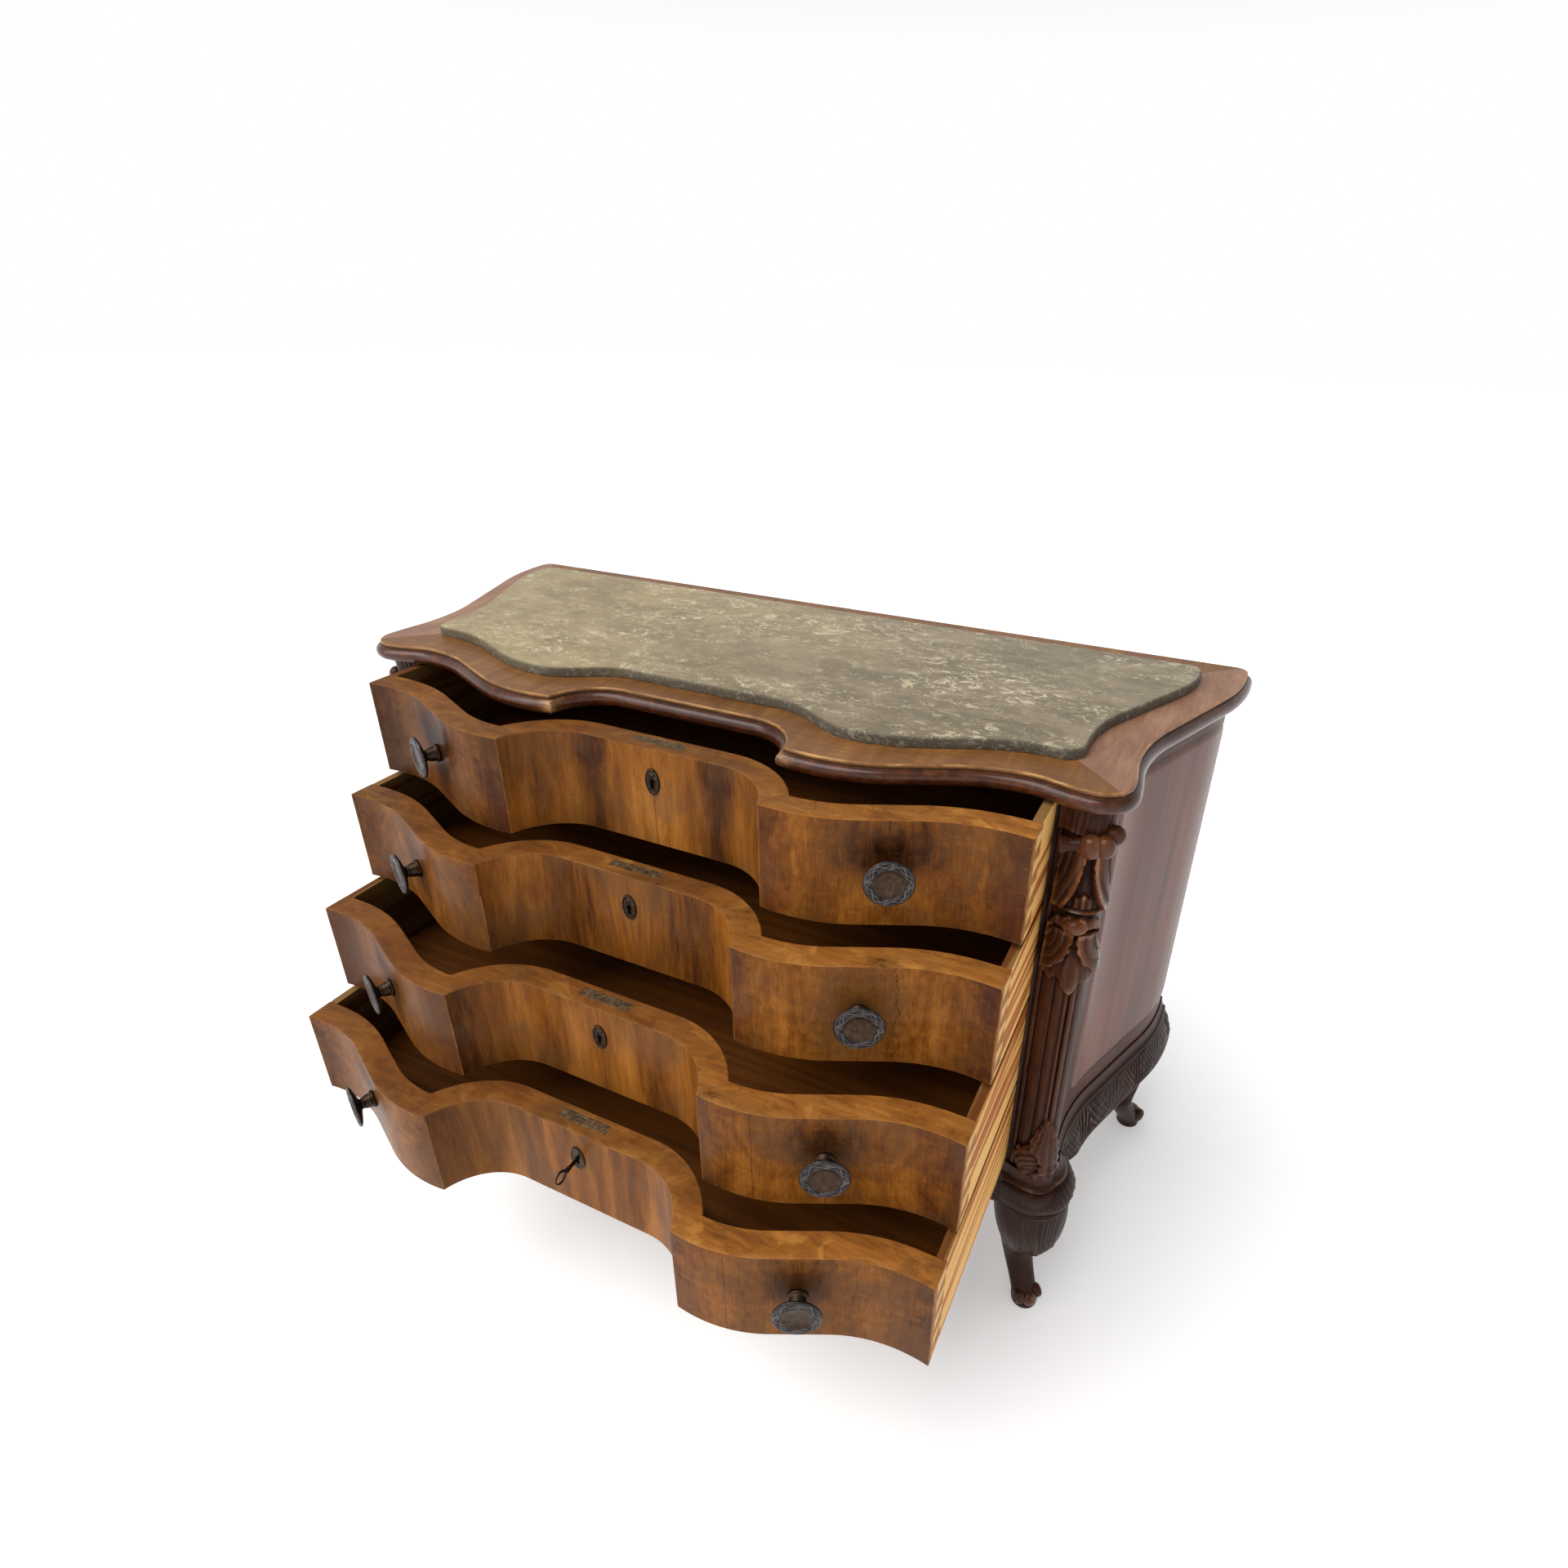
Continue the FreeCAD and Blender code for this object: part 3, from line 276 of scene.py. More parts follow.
def swept(plan, profile):
    """A profile of (out, height) rows carried round a plan: each row is the plan at its own out."""
    return np.stack([lifted(plan(out), height) for out, height in profile])


def soft(x, low, high):
    """0 below low, 1 above high, and a smooth S between."""
    share = np.clip((x - low) / (high - low), 0, 1)
    return share * share * (3 - 2 * share)


def bell(x, middle, width):
    """1 at the middle, falling smoothly on both sides: e to minus the square of the share of width."""
    return np.exp(-((x - middle) / width) ** 2)


def full_turn(count):
    """Evenly spaced angles of a whole turn, without the last one."""
    return np.linspace(0, 2 * math.pi, count, endpoint=False)


ABOUT_A_TURN = 6.283


def ripple(u, v, seed, size):
    """A seeded, gentle unevenness from -1 to 1: the sum of six crossed sine waves of about that size."""
    rng = np.random.default_rng(seed)
    total = 0
    for _ in range(6):
        angle, stretch, phase = rng.uniform(0, ABOUT_A_TURN), rng.uniform(0.6, 1.7), rng.uniform(0, ABOUT_A_TURN)
        across = u * math.cos(angle) + v * math.sin(angle)
        total = total + np.sin(across * ABOUT_A_TURN / (size * stretch) + phase)
    return total / 4


# %% [markdown]
# ## Writing finishes as sums
# A finish is a Principled shader whose colour, roughness and bump come from patterns. The nodes could
# be added one by one, but that hides what they compute, so a wrapped socket takes part in Python
# sums, and one method adds any other node.

# %% Colours and sums
def paint(red, green, blue):
    """A colour as it looks on the screen, 0 to 255, as the linear numbers that a shader needs."""
    c = np.array([red, green, blue]) / 255
    return (*np.where(c <= 0.04045, c / 12.92, ((c + 0.055) / 1.055) ** 2.4).tolist(), 1.0)


class Value:
    """A shader socket that takes part in sums; each sum adds one Math node."""

    def __init__(self, finish, socket):
        self.finish, self.socket = finish, socket

    def sum(self, operation, *others):
        return self.finish.node("ShaderNodeMath", {"operation": operation}, dict(enumerate((self, *others))))

    def __add__(self, other): return self.sum("ADD", other)
    def __mul__(self, other): return self.sum("MULTIPLY", other)
    def __sub__(self, other): return self.sum("SUBTRACT", other)
    def __truediv__(self, other): return self.sum("DIVIDE", other)
    def __rsub__(self, other): return (self * -1).sum("ADD", other)
    __radd__, __rmul__ = __add__, __mul__

    def between(self, low, high):
        """0 where the value is at or below low and 1 at or above high, smooth between."""
        return self.finish.node(
            "ShaderNodeMapRange", {"interpolation_type": "SMOOTHSTEP"},
            {"Value": self, "From Min": low, "From Max": high})

    def near(self, place, width):
        """1 at a place, and 0 from width away on both sides of it."""
        return 1 - (self - place).sum("ABSOLUTE").between(width * 0.3, width)


# %% [markdown]
# ## A finish
# Old polish, dirt and wear lie over one another in thin films. Layers could be painted on an unwrapped
# mesh, but here each is a pattern in the wood's own millimetres, so it goes round corners unbroken. A
# finish keeps its node tree and adds nodes as its sums ask for them.

# %% Finishes
class Finish:
    """A procedural material."""

    def __init__(self, name, **constants):
        self.material = bpy.data.materials.new(name)
        self.material.use_nodes = True
        self.nodes, self.links = self.material.node_tree.nodes, self.material.node_tree.links
        self.shader = self.nodes["Principled BSDF"]
        for socket, value in constants.items():
            self.shader.inputs[socket.replace("_", " ")].default_value = value

    def feed(self, socket, value):
        if isinstance(value, Value):
            self.links.new(value.socket, socket)
        else:
            socket.default_value = value

    def node(self, kind, settings=None, sockets=None, output=0):
        """Any node: its type, its settings, its sockets' values or links, and which output is wanted."""
        node = self.nodes.new(kind)
        for name, value in (settings or {}).items():
            if name == "stops":
                while len(node.color_ramp.elements) < len(value):
                    node.color_ramp.elements.new(0.5)
                for element, (place, colour) in zip(node.color_ramp.elements, value):
                    element.position, element.color = place, colour
            else:
                setattr(node, name, value)
        for name, value in (sockets or {}).items():
            self.feed(node.inputs[name], value)
        return Value(self, node.outputs[output])

    def place(self, stretch=(1, 1, 1), turn=(0, 0, 0), mark=None):
        """Object coordinates in millimetres, or a marked vector of the mesh, stretched and turned."""
        if mark:
            source, scale = self.node("ShaderNodeAttribute", {"attribute_name": mark}, output="Vector"), stretch
        else:
            source = self.node("ShaderNodeTexCoord", output="Object")
            scale = tuple(1000 * s for s in stretch)
        return self.node("ShaderNodeMapping", {}, {"Vector": source, "Rotation": turn, "Scale": scale})

    def axis(self, vector, name):
        """One coordinate of a vector: X, Y or Z."""
        return self.node("ShaderNodeSeparateXYZ", {}, {"Vector": vector}, name)

    def mark(self, name):
        """A marked number of the mesh."""
        return self.node("ShaderNodeAttribute", {"attribute_name": name}, output="Fac")

    def noise(self, place, size, detail=4.0, roughness=0.55, distortion=0.0):
        return self.node("ShaderNodeTexNoise", {}, {
            "Vector": place, "Scale": 1 / size, "Detail": detail, "Roughness": roughness, "Distortion": distortion})

    def ramp(self, value, *stops):
        return self.node("ShaderNodeValToRGB", {"stops": stops}, {"Fac": value})

    def mix(self, share, first, second):
        return self.node(
            "ShaderNodeMix", {"data_type": "RGBA", "clamp_factor": True},
            {0: share, 6: first, 7: second}, output=2)

    def finish(self, colour, roughness=None, bump=None, depth=0.001, strength=1.0, coat=None):
        """Sends the results to the shader: depth is the bump's full height in metres."""
        self.feed(self.shader.inputs["Base Color"], colour)
        if roughness is not None:
            self.feed(self.shader.inputs["Roughness"], roughness)
        if coat is not None:
            self.feed(self.shader.inputs["Coat Weight"], coat)
        if bump is not None:
            self.feed(self.shader.inputs["Normal"], self.node(
                "ShaderNodeBump", {}, {"Height": bump, "Distance": depth, "Strength": strength}))
        print("finish", self.material.name, len(self.nodes), "nodes")
        return self.material


# %% [markdown]
# ## The old walnut of the top
# The top is veneered in quiet walnut with a satin wax polish, and the strips along its sides meet the
# front strip in a mitre at each corner. The nose under its edge is darker and glossier, and hands have
# worn the arris to pale wood. A photo texture would carry someone else's board, so the figure is noise
# stretched along the grain, and the worn lines come from marks that the mesh carries.

# %% Top finish
FRONT_MITRE, BACK_MITRE = 476, 200      # mm: where across plus depth, and across less depth, meet the strips


def waxed_top():
    f = Finish("waxed_walnut_top", Coat_Roughness=0.14, Coat_IOR=1.45, Specular_IOR_Level=0.25)
    here = f.place()
    wide = f.axis(here, "X").sum("ABSOLUTE")
    mitre, back_mitre = wide + f.axis(here, "Y"), wide - f.axis(here, "Y")
    side = mitre.between(FRONT_MITRE - 0.4, FRONT_MITRE + 0.4) * back_mitre.between(BACK_MITRE - 0.4, BACK_MITRE + 0.4)
    crosswise, lengthwise = (f.noise(f.place(stretch), 3.2, 5, 0.65) for stretch in ((0.1, 1, 1), (1, 0.1, 1)))
    grain = crosswise * (1 - side) + lengthwise * side
    ribbon = f.noise(f.place((1, 0.22, 1), (0, 0, 0.5)), 16, 3, 0.5, 0.6)
    cloud = f.noise(here, 130, 3, 0.5)
    tone = grain * 0.34 + ribbon * 0.33 + cloud * 0.4 - 0.03
    board = f.ramp(tone, (0.28, paint(80, 48, 23)), (0.5, paint(118, 77, 38)), (0.72, paint(154, 106, 58)))
    # The side strips are cross-banded, so their grain runs the other way. Their lighter, pinker-grey ramp is partly
    # their own veneer and partly painted sheen.
    border = f.ramp(tone, (0.28, paint(100, 66, 46)), (0.5, paint(143, 104, 80)), (0.72, paint(174, 136, 108)))
    board = f.mix(side, board, border)
    joint = mitre.near(FRONT_MITRE, 0.9) * wide.between(474, 478)
    joint = joint + back_mitre.near(BACK_MITRE, 0.9) * wide.between(538, 542)
    board = f.mix(joint * 0.55, board, paint(52, 28, 16))
    nose = f.ramp(tone, (0.3, paint(30, 13, 7)), (0.5, paint(64, 31, 16)), (0.7, paint(112, 62, 31)))
    colour = f.mix(f.mark("nose"), board, nose)
    rub = f.noise(f.place((0.4, 0.4, 1)), 22, 5, 0.65)
    worn = f.mark("wear") * (rub.between(0.42, 0.62) * 0.7 + 0.12)
    colour = f.mix(worn, colour, f.ramp(grain, (0.3, paint(158, 106, 54)), (0.7, paint(214, 170, 110))))
    # The quirk under the arris and the board's underside are painted near black as shade.
    colour = f.mix(f.mark("dirt"), colour, paint(12, 6, 5))
    rough = 0.44 - f.mark("nose") * 0.2 + grain * 0.12 + worn * 0.1 + f.mark("dirt") * 0.5
    coat = (0.08 + f.mark("nose") * 0.2) * (1 - f.mark("dirt"))
    return f.finish(colour, rough, grain * 0.5 + ribbon * 0.25, 0.00035, 0.5, coat)


top_finish = waxed_top()

# %% [markdown]
# ## The moulded top board
# The real board is thick wood with a thumb moulding run round it: a flat arris, a dark quirk under it
# and a round nose. A bevel modifier would round the edge evenly, but here the profile is the point, so
# its rows of (out, height) are carried round the plan.

# %% Top board
def top_plan(out, count=14):
    """The top's right half at a distance out, closed: front, corner, hip, side and rounded back."""
    back, radius = case_back + 6, 14
    end = flare + ACROSS * out
    turn = at(end[0] - radius, back - radius)
    right = np.concatenate([
        front_half(out, count)[:-1], corner_wave.points(out, count),
        arc(corner_centre, corner_front + FORWARD * out, corner_side + ACROSS * out, count),
        hip_wave.points(out, count), side_wave.points(out, count), run(end, turn + ACROSS * radius, 2),
        arc(turn, turn + ACROSS * radius, turn - FORWARD * radius, 8), [turn - FORWARD * radius, at(0, back)]])
    return all_round(right)


def along_line(points):
    """Distance along a line of points from its first one."""
    steps = np.linalg.norm(np.diff(points, axis=0), axis=1)
    return np.concatenate([[0], np.cumsum(steps)])


BOARD_LOW, BOARD_HIGH = 847.8, 871.8
turn = np.linspace(-90, 78, 13) * math.pi / 180
thumb = [(16.2 + 7.8 * math.cos(t), 856.6 + 8.8 * math.sin(t)) for t in turn]
arris = [(15.0, 866.1), (14.9, 866.7), (15.9, 867.1), (16.25, 868.6), (16.15, 870.2), (15.6, 871.2), (14.7, 871.7),
         (13.2, BOARD_HIGH)]
profile = [(9.0, BOARD_LOW)] + thumb + arris
row_height = np.array([height for _, height in profile])
row_out = np.array([out for out, _ in profile])
edge_x, edge_y = top_plan(0).T
corner_share = bell(np.abs(edge_x), cusp_x, 7) * (edge_y < 0)
edge_share = bell(row_height, 870.9, 1.1) * (row_out > 13.5)
nose_share = np.where(row_height < 865.6, 1.0, 0.25)
nose_share[-2:] = 0
# painted shade: dark in the quirk under the arris and on the underside row
dirt = bell(row_height, 866.4, 0.8) * 0.85
dirt[0] = 0.9
wear = np.clip(edge_share[:, None] + corner_share[None, :] * (row_height < 866)[:, None] * 0.9, 0, 1)
piece("walnut_top", [patch(
    swept(top_plan, profile), columns_meet=True, wear=wear, nose=nose_share[:, None], dirt=dirt[:, None])],
    [top_finish], nodes=["top_board"])

# %% [markdown]
# ## The marble
# The slab is a fossil-bearing marble: olive and grey-brown, with pale curls, rings and streaks. Its
# polish is soft and its edges are chipped. Curls come from a noise whose level lines are picked out,
# because a level line of a smooth field is a closed curl, as a cut shell is.

# %% Marble finish
def fossil_marble():
    f = Finish("fossil_marble", Specular_IOR_Level=0.2)
    flat = f.place((0.62, 1.0, 1.0), (0, 0, 0.1))
    shift = f.node("ShaderNodeTexNoise", {}, {"Vector": flat, "Scale": 1 / 20, "Detail": 2.0}, "Color")
    loose = f.node("ShaderNodeVectorMath", {"operation": "MULTIPLY_ADD"}, {0: shift, 1: (26, 26, 0), 2: flat})
    cloud = f.noise(f.place((0.6, 1, 1)), 190, 4, 0.55)
    ground = f.noise(flat, 60, 7, 0.6, 0.6)
    warm = (f.axis(f.place(), "X") * -0.0013 + 0.42 + (cloud - 0.5) * 1.3).between(0.0, 1.0)
    olive = f.ramp(ground, (0.28, paint(120, 101, 64)), (0.5, paint(147, 129, 90)), (0.72, paint(168, 150, 109)))
    grey = f.ramp(ground, (0.28, paint(98, 86, 65)), (0.5, paint(123, 110, 86)), (0.72, paint(146, 133, 109)))
    colour = f.mix(warm, grey, olive)
    shade = f.noise(loose, 11, 4, 0.65, 0.6).between(0.52, 0.7)
    colour = f.mix(shade * 0.3, colour, paint(90, 78, 56))
    crowd = f.noise(flat, 84, 3, 0.5).between(0.36, 0.62)
    shells = f.noise(loose, 22, 1.0, 0.5, 0.8)
    slivers = f.noise(f.place((0.5, 1.0, 1.0), (0, 0, 0.5)), 15, 2, 0.5, 1.2)
    arcs = shells.near(0.5, 0.016) + shells.near(0.41, 0.012) + shells.near(0.59, 0.012)
    arcs = arcs + slivers.near(0.5, 0.018) * 0.8
    crumbs = f.noise(loose, 4.2, 3, 0.6).between(0.6, 0.68)
    fossils = arcs * (crowd * 0.75 + 0.25) + crumbs * crowd * 0.35
    for size, radius in ((24, 0.3), (14, 0.28)):
        cell = {"Vector": loose, "Scale": 1 / size}
        ring = f.node("ShaderNodeTexVoronoi", {}, cell, "Distance").near(radius, 0.075)
        chosen = f.axis(f.node("ShaderNodeTexVoronoi", {}, cell, "Color"), "X").between(0.6, 0.66)
        fossils = fossils + ring * chosen * (crowd * 0.75 + 0.25)
    broken = f.noise(flat, 12, 3, 0.6).between(0.4, 0.56)
    pale = f.ramp(cloud, (0.35, paint(188, 174, 138)), (0.65, paint(214, 202, 172)))
    colour = f.mix((fossils * broken).sum("MINIMUM", 1.0) * 0.8, colour, pale)
    rim = f.mark("rim")
    chips = f.noise(f.place(), 8, 4, 0.65).between(0.54, 0.66)
    colour = f.mix(rim * 0.76, colour, paint(62, 57, 51))
    colour = f.mix(rim * chips * 0.3, colour, paint(166, 160, 148))
    rough = 0.3 + ground * 0.14 + rim * 0.2
    return f.finish(colour, rough, ground * 0.2 + rim * chips, 0.0006, 0.4)


marble_finish = fossil_marble()

# %% [markdown]
# ## The slab
# The slab is sawn to the top's waves, but its outline has soft curves where the wood has ridges, and its
# rim is eased and chipped. Chips could be Booleans with small stones; here the line itself gives way a
# little where two seeded ripples are high, so that the rim stays one clean surface.

# %% Marble slab
SLAB_STEP = 3.0         # mm between points of the outline


def slab_plan(count=16):
    """The slab's plan: the top's waves with soft curves in place of the ridges."""
    recess, peak, hollow = at(108, 18), at(228.02, -25), at(440, 35)
    radius, hip, tail, back = 22.0, at(474, 80), at(565, 367), at(0, 389)
    near_turn, far_turn = at(hip[0] - radius, hollow[1] + radius), tail - ACROSS * radius
    right = np.concatenate([
        run(at(0, recess[1]), recess, count), Wave(recess, peak, ACROSS, FORWARD, 1.57).points(0, count),
        Wave(peak, hollow, ACROSS, FORWARD, 1.57).points(0, count), run(hollow, near_turn + FORWARD * radius, 2),
        arc(near_turn, near_turn + FORWARD * radius, near_turn + ACROSS * radius, 8),
        run(near_turn + ACROSS * radius, hip, 3), Wave(hip, tail, -FORWARD, ACROSS, 1.41).points(0, count),
        arc(far_turn, tail, far_turn - FORWARD * radius, 8), run(far_turn - FORWARD * radius, back, 16), [back]])
    return all_round(right)


def evenly(points, step, closed=False):
    """The same line with evenly spaced points: each coordinate is interpolated over the distance."""
    line = np.concatenate([points, points[:1]]) if closed else points
    distance = along_line(line)
    count = int(round(distance[-1] / step))
    places = np.linspace(0, distance[-1], count + 1)
    places = places[:-1] if closed else places
    return np.stack([np.interp(places, distance, line[:, axis]) for axis in range(2)], axis=1)


def outward(points, closed=False):
    """Unit directions square to a line that runs anticlockwise: its tangent turned a quarter right."""
    if closed:
        tangent = np.roll(points, -1, axis=0) - np.roll(points, 1, axis=0)
    else:
        tangent = np.gradient(points, axis=0)
    tangent = tangent / np.linalg.norm(tangent, axis=1)[:, None]
    return np.stack([tangent[:, 1], -tangent[:, 0]], axis=1)


slab_line = evenly(slab_plan(), SLAB_STEP, closed=True)
slab_out = outward(slab_line, closed=True)
place = np.arange(len(slab_line)) * SLAB_STEP
chip = np.clip(ripple(place, 0, 5, 30) + ripple(place, 0, 6, 11) * 0.7 - 0.35, 0, 1)
slab_rows = [(-1.5, 0.0), (-0.2, 0.6), (0.0, 2.0), (0.0, 6.0), (0.0, 9.8),
             (-0.3, 11.4), (-0.9, 12.3), (-1.9, 12.85), (-3.2, 13.0)]
slab_shape = np.stack([
    lifted(slab_line + slab_out * (out - chip * 1.6 * (height > 8))[:, None],
           BOARD_HIGH + height - chip * 0.9 * (height > 10) * (height < 12.9)) for out, height in slab_rows])
rim = np.array([1, 1, 1, 1, 1, 1, 0.9, 0.5, 0])[:, None]
piece("veined_slab", [patch(slab_shape, columns_meet=True, rim=rim)], [marble_finish],
      nodes=["marble_slab"])

# %% [markdown]
# ## The drawers' veneer
# Walnut crotch veneer is laid upright on the drawers and matched in mirror pairs, with one seam at
# the keyhole and one through each knob. The mirrors could be built from nodes, but the mesh knows its
# seams better: it carries a grain coordinate that is already mirrored there, so one noise gives matched
# figure on both sides. Under the veneer lies honey-coloured core wood, browner towards the left.

# %% Veneer finish
def crotch_veneer():
    f = Finish("crotch_veneer", Coat_Roughness=0.16, Coat_IOR=1.35, Specular_IOR_Level=0.05)
    face = f.place(mark="face")

    def figured(x, y):
        return f.place((x, y, 1), mark="grain")

    streaks = f.noise(figured(1, 0.13), 13, 6, 0.65, 0.35)
    flame = f.noise(figured(1, 0.2), 62, 7, 0.6, 0.8)
    calm = f.noise(figured(1, 0.6), 66, 7, 0.62, 1.6)
    swirl = f.noise(figured(1, 0.8), 30, 6, 0.62, 2.4)
    curl = f.noise(figured(0.3, 1), 10, 3, 0.5, 0.6)
    fibre = f.noise(figured(1, 0.045), 1.7, 3, 0.6)
    outer = f.mark("outer")
    quiet = calm * 0.52 + swirl * 0.36 + curl * 0.12
    figure = (flame - 0.5) * 0.5 * (1 - outer) + (quiet - 0.5) * 0.56 * outer
    pores = f.noise(figured(1, 0.05), 0.95, 2, 0.6).between(0.56, 0.72)
    tone = figure + streaks * (0.24 - outer * 0.08) + fibre * 0.13 - pores * 0.05
    tone = tone - f.mark("dark") * 0.18 + 0.322 + outer * 0.035
    colour = f.ramp(
        tone, (0.27, paint(28, 13, 6)), (0.37, paint(66, 34, 11)), (0.475, paint(111, 64, 19)),
        (0.57, paint(144, 89, 33)), (0.68, paint(176, 118, 54)))
    # A purple tint: the veneer's own colour at the ends, and painted sheen on the left outer sections.
    violet = f.mark("violet") * f.noise(figured(1, 0.3), 60, 3, 0.5).between(0.3, 0.65)
    colour = f.mix(violet * 0.75, colour, paint(66, 34, 25))
    veil = f.noise(f.place((1, 0.7, 1), mark="face"), 85, 6, 0.62, 0.6).between(0.42, 0.64)
    colour = f.mix(veil * 0.42, colour, paint(88, 62, 38))
    along, up = f.axis(face, "X"), f.axis(face, "Y")
    distance, waver = along.sum("ABSOLUTE"), f.noise(face, 30, 4, 0.6) - 0.5
    edges = up.near(0, 2.0) + up.near(DRAWER_HIGH, 2.2) * 0.8
    edges = edges + distance.near(cusp_along, 1.5) + distance.near(end_along, 2.0)
    worn = edges * f.noise(face, 26, 4, 0.6).between(0.36, 0.66)
    scratches = f.noise(f.place((0.12, 1, 1), mark="face"), 2.0, 2, 0.7).between(0.64, 0.74)
    colour = f.mix(worn * 0.34 + scratches * 0.2, colour, paint(186, 132, 74))
    second = (along + waver * 2).near(seam_along - 80, 0.7) * (1 - f.axis(face, "Z").between(500, 600)) * 0.8
    knob_seam = (distance + waver * 3).near(seam_along, 0.7) * f.noise(face, 24, 2).between(0.4, 0.5)
    joints = distance.near(0, 0.8) * 0.7 + second + knob_seam
    splits = (along + waver * 34).near(seam_along + 42, 0.7) * f.mark("split")
    colour = f.mix((joints + splits) * 0.75, colour, paint(26, 12, 8))
    rough = 0.36 + streaks * 0.1 + worn * 0.15
    return f.finish(colour, rough, fibre * 0.5 + streaks * 0.35 - splits, 0.00025, 0.4, 0.1 - worn * 0.08)


def honey_board():
    f = Finish("honey_core_wood", Coat_Roughness=0.3, Coat_Weight=0.05, Specular_IOR_Level=0.12)
    grain = f.noise(f.place((0.09, 0.7, 1)), 3.0, 5, 0.65)
    bands = f.noise(f.place((0.22, 1, 0.5)), 17, 4, 0.6, 0.8)
    stain = f.noise(f.place((0.5, 1, 1)), 58, 5, 0.62)
    tone = grain * 0.24 + bands * 0.26 + stain * 0.54
    colour = f.ramp(tone, (0.32, paint(92, 52, 17)), (0.5, paint(146, 90, 34)), (0.7, paint(188, 130, 62)))
    smudge = f.noise(f.place((0.7, 1, 1)), 34, 6, 0.66, 0.7)
    colour = f.mix(stain.between(0.5, 0.66) * 0.5 + smudge.between(0.52, 0.62) * 0.4, colour, paint(82, 46, 18))
    colour = f.mix((1 - smudge.between(0.34, 0.45)) * 0.5, colour, paint(196, 136, 62))
    # The honey wood is browner towards the left of each front.
    colour = f.mix(f.mark("soil") * (stain.between(0.3, 0.7) * 0.4 + 0.52), colour, paint(66, 34, 14))
    return f.finish(colour, 0.5 + grain * 0.15, grain * 0.6 + bands * 0.3, 0.0003, 0.5)


# %% [markdown]
# ## Drawer fronts
# A real front is sawn from a thick block and veneered on its face only, so its top edge and its ends
# show honey-coloured core wood, with the dovetails of the drawer's sides at its ends. It could be a slab
# with a curve modifier, but each face needs its own finish, so the front is a rounded rectangle of (out,
# height) carried along the plan, with the face rows painted in veneer.

# %% The line of a front
FRONT_THICK, DRAWER_HIGH, FIRST_FLOOR, PITCH = 33.0, 132.0, 291.8, 140.0     # mm
KNOB_ACROSS = 317.5     # mm from the middle to a knob
DRAWERS = {"bottom_drawer": 307.0, "third_drawer": 242.0, "second_drawer": 163.0, "top_drawer": 97.0}


def drawer_floor(level):
    """Height of a drawer's lower edge; level 0 is the bottom drawer."""
    return FIRST_FLOOR + PITCH * level


def front_line(out, count=18):
    """A drawer front's plan from end to end at a distance out from its face. Past the hollow the face
    curves forwards on the wave's own circle, and the inner face runs straight."""
    share = np.linspace(0, 1, 5)[1:, None]
    radius, past = front_wave.radius, share * 30
    curve = (radius - np.sqrt(radius ** 2 - past ** 2)) * np.clip(1 + out / FRONT_THICK, 0, 1)
    tail = np.concatenate([trough[0] + past, trough[1] - out - curve], axis=1)
    return both_halves(np.concatenate([front_half(out, count), tail]))


face_line = front_line(0)
face_along = along_line(face_line)
face_along = face_along - face_along[-1] / 2
cusp_along = np.interp(cusp_x, face_line[:, 0], face_along)
seam_along = np.interp(KNOB_ACROSS, face_line[:, 0], face_along)
end_along = face_along[-1]
print(f"ridge {cusp_along:.0f}, knob seam {seam_along:.0f}, end {end_along:.0f} mm along the face")


# %% [markdown]
# ## Ends of a front and walls of a keyhole
# The pale tails of a drawer's side show in the end of its front, and a keyhole's walls are painted near
# black as shade. Tails could be separate wedges, but they lie flush with the end, so they are only a change of wood.

# %% Finishes of ends and holes
def dovetailed_end():
    """The end of a front: pale tails of the drawer side let into the darker end grain. A tail is where
    a cosine of the height is above a level that falls towards the tail's wide end."""
    f = Finish("dovetailed_end", Coat_Weight=0.05, Coat_Roughness=0.4, Specular_IOR_Level=0.12)
    up, depth = f.axis(f.place(mark="face"), "Y"), f.mark("depth")
    level = (up * (2 * math.pi / 30)).sum("COSINE") + (depth - 18) * -0.035
    tail = level.between(-0.06, 0.06) * depth.between(8, 9)
    fibre = f.noise(f.place((1, 0.08, 1)), 1.8, 4, 0.6)
    pores = f.noise(f.place((1, 1, 0.3)), 2.2, 4, 0.65)
    colour = f.mix(
        tail, f.ramp(pores, (0.3, paint(120, 72, 28)), (0.7, paint(184, 128, 66))),
        f.ramp(fibre, (0.3, paint(196, 140, 76)), (0.7, paint(232, 190, 126))))
    return f.finish(colour, 0.6, fibre * 0.4 + pores * 0.4, 0.0003, 0.5)


def shaded_keyhole():
    """The walls of a keyhole, painted near black as shade."""
    f = Finish("keyhole_walls_in_shade", Specular_IOR_Level=0.05)
    speckle = f.noise(f.place(), 3, 3, 0.6)
    return f.finish(f.ramp(speckle, (0.3, paint(8, 5, 4)), (0.7, paint(22, 14, 10))), 0.8, speckle, 0.0003, 0.5)


front_finishes = [crotch_veneer(), honey_board(), dovetailed_end(), shaded_keyhole()]

# %% [markdown]
# ## Rows and marks of a front
# Each front has its own marks: clouds over the knobs, which on the two lowest drawers are painted shadow
# of the knob, dark ends, a few splits, and honey wood that is browner at the left. They could be painted
# on by hand; here each is a soft step or a bell of the place along the face, carried as a mark of the mesh.

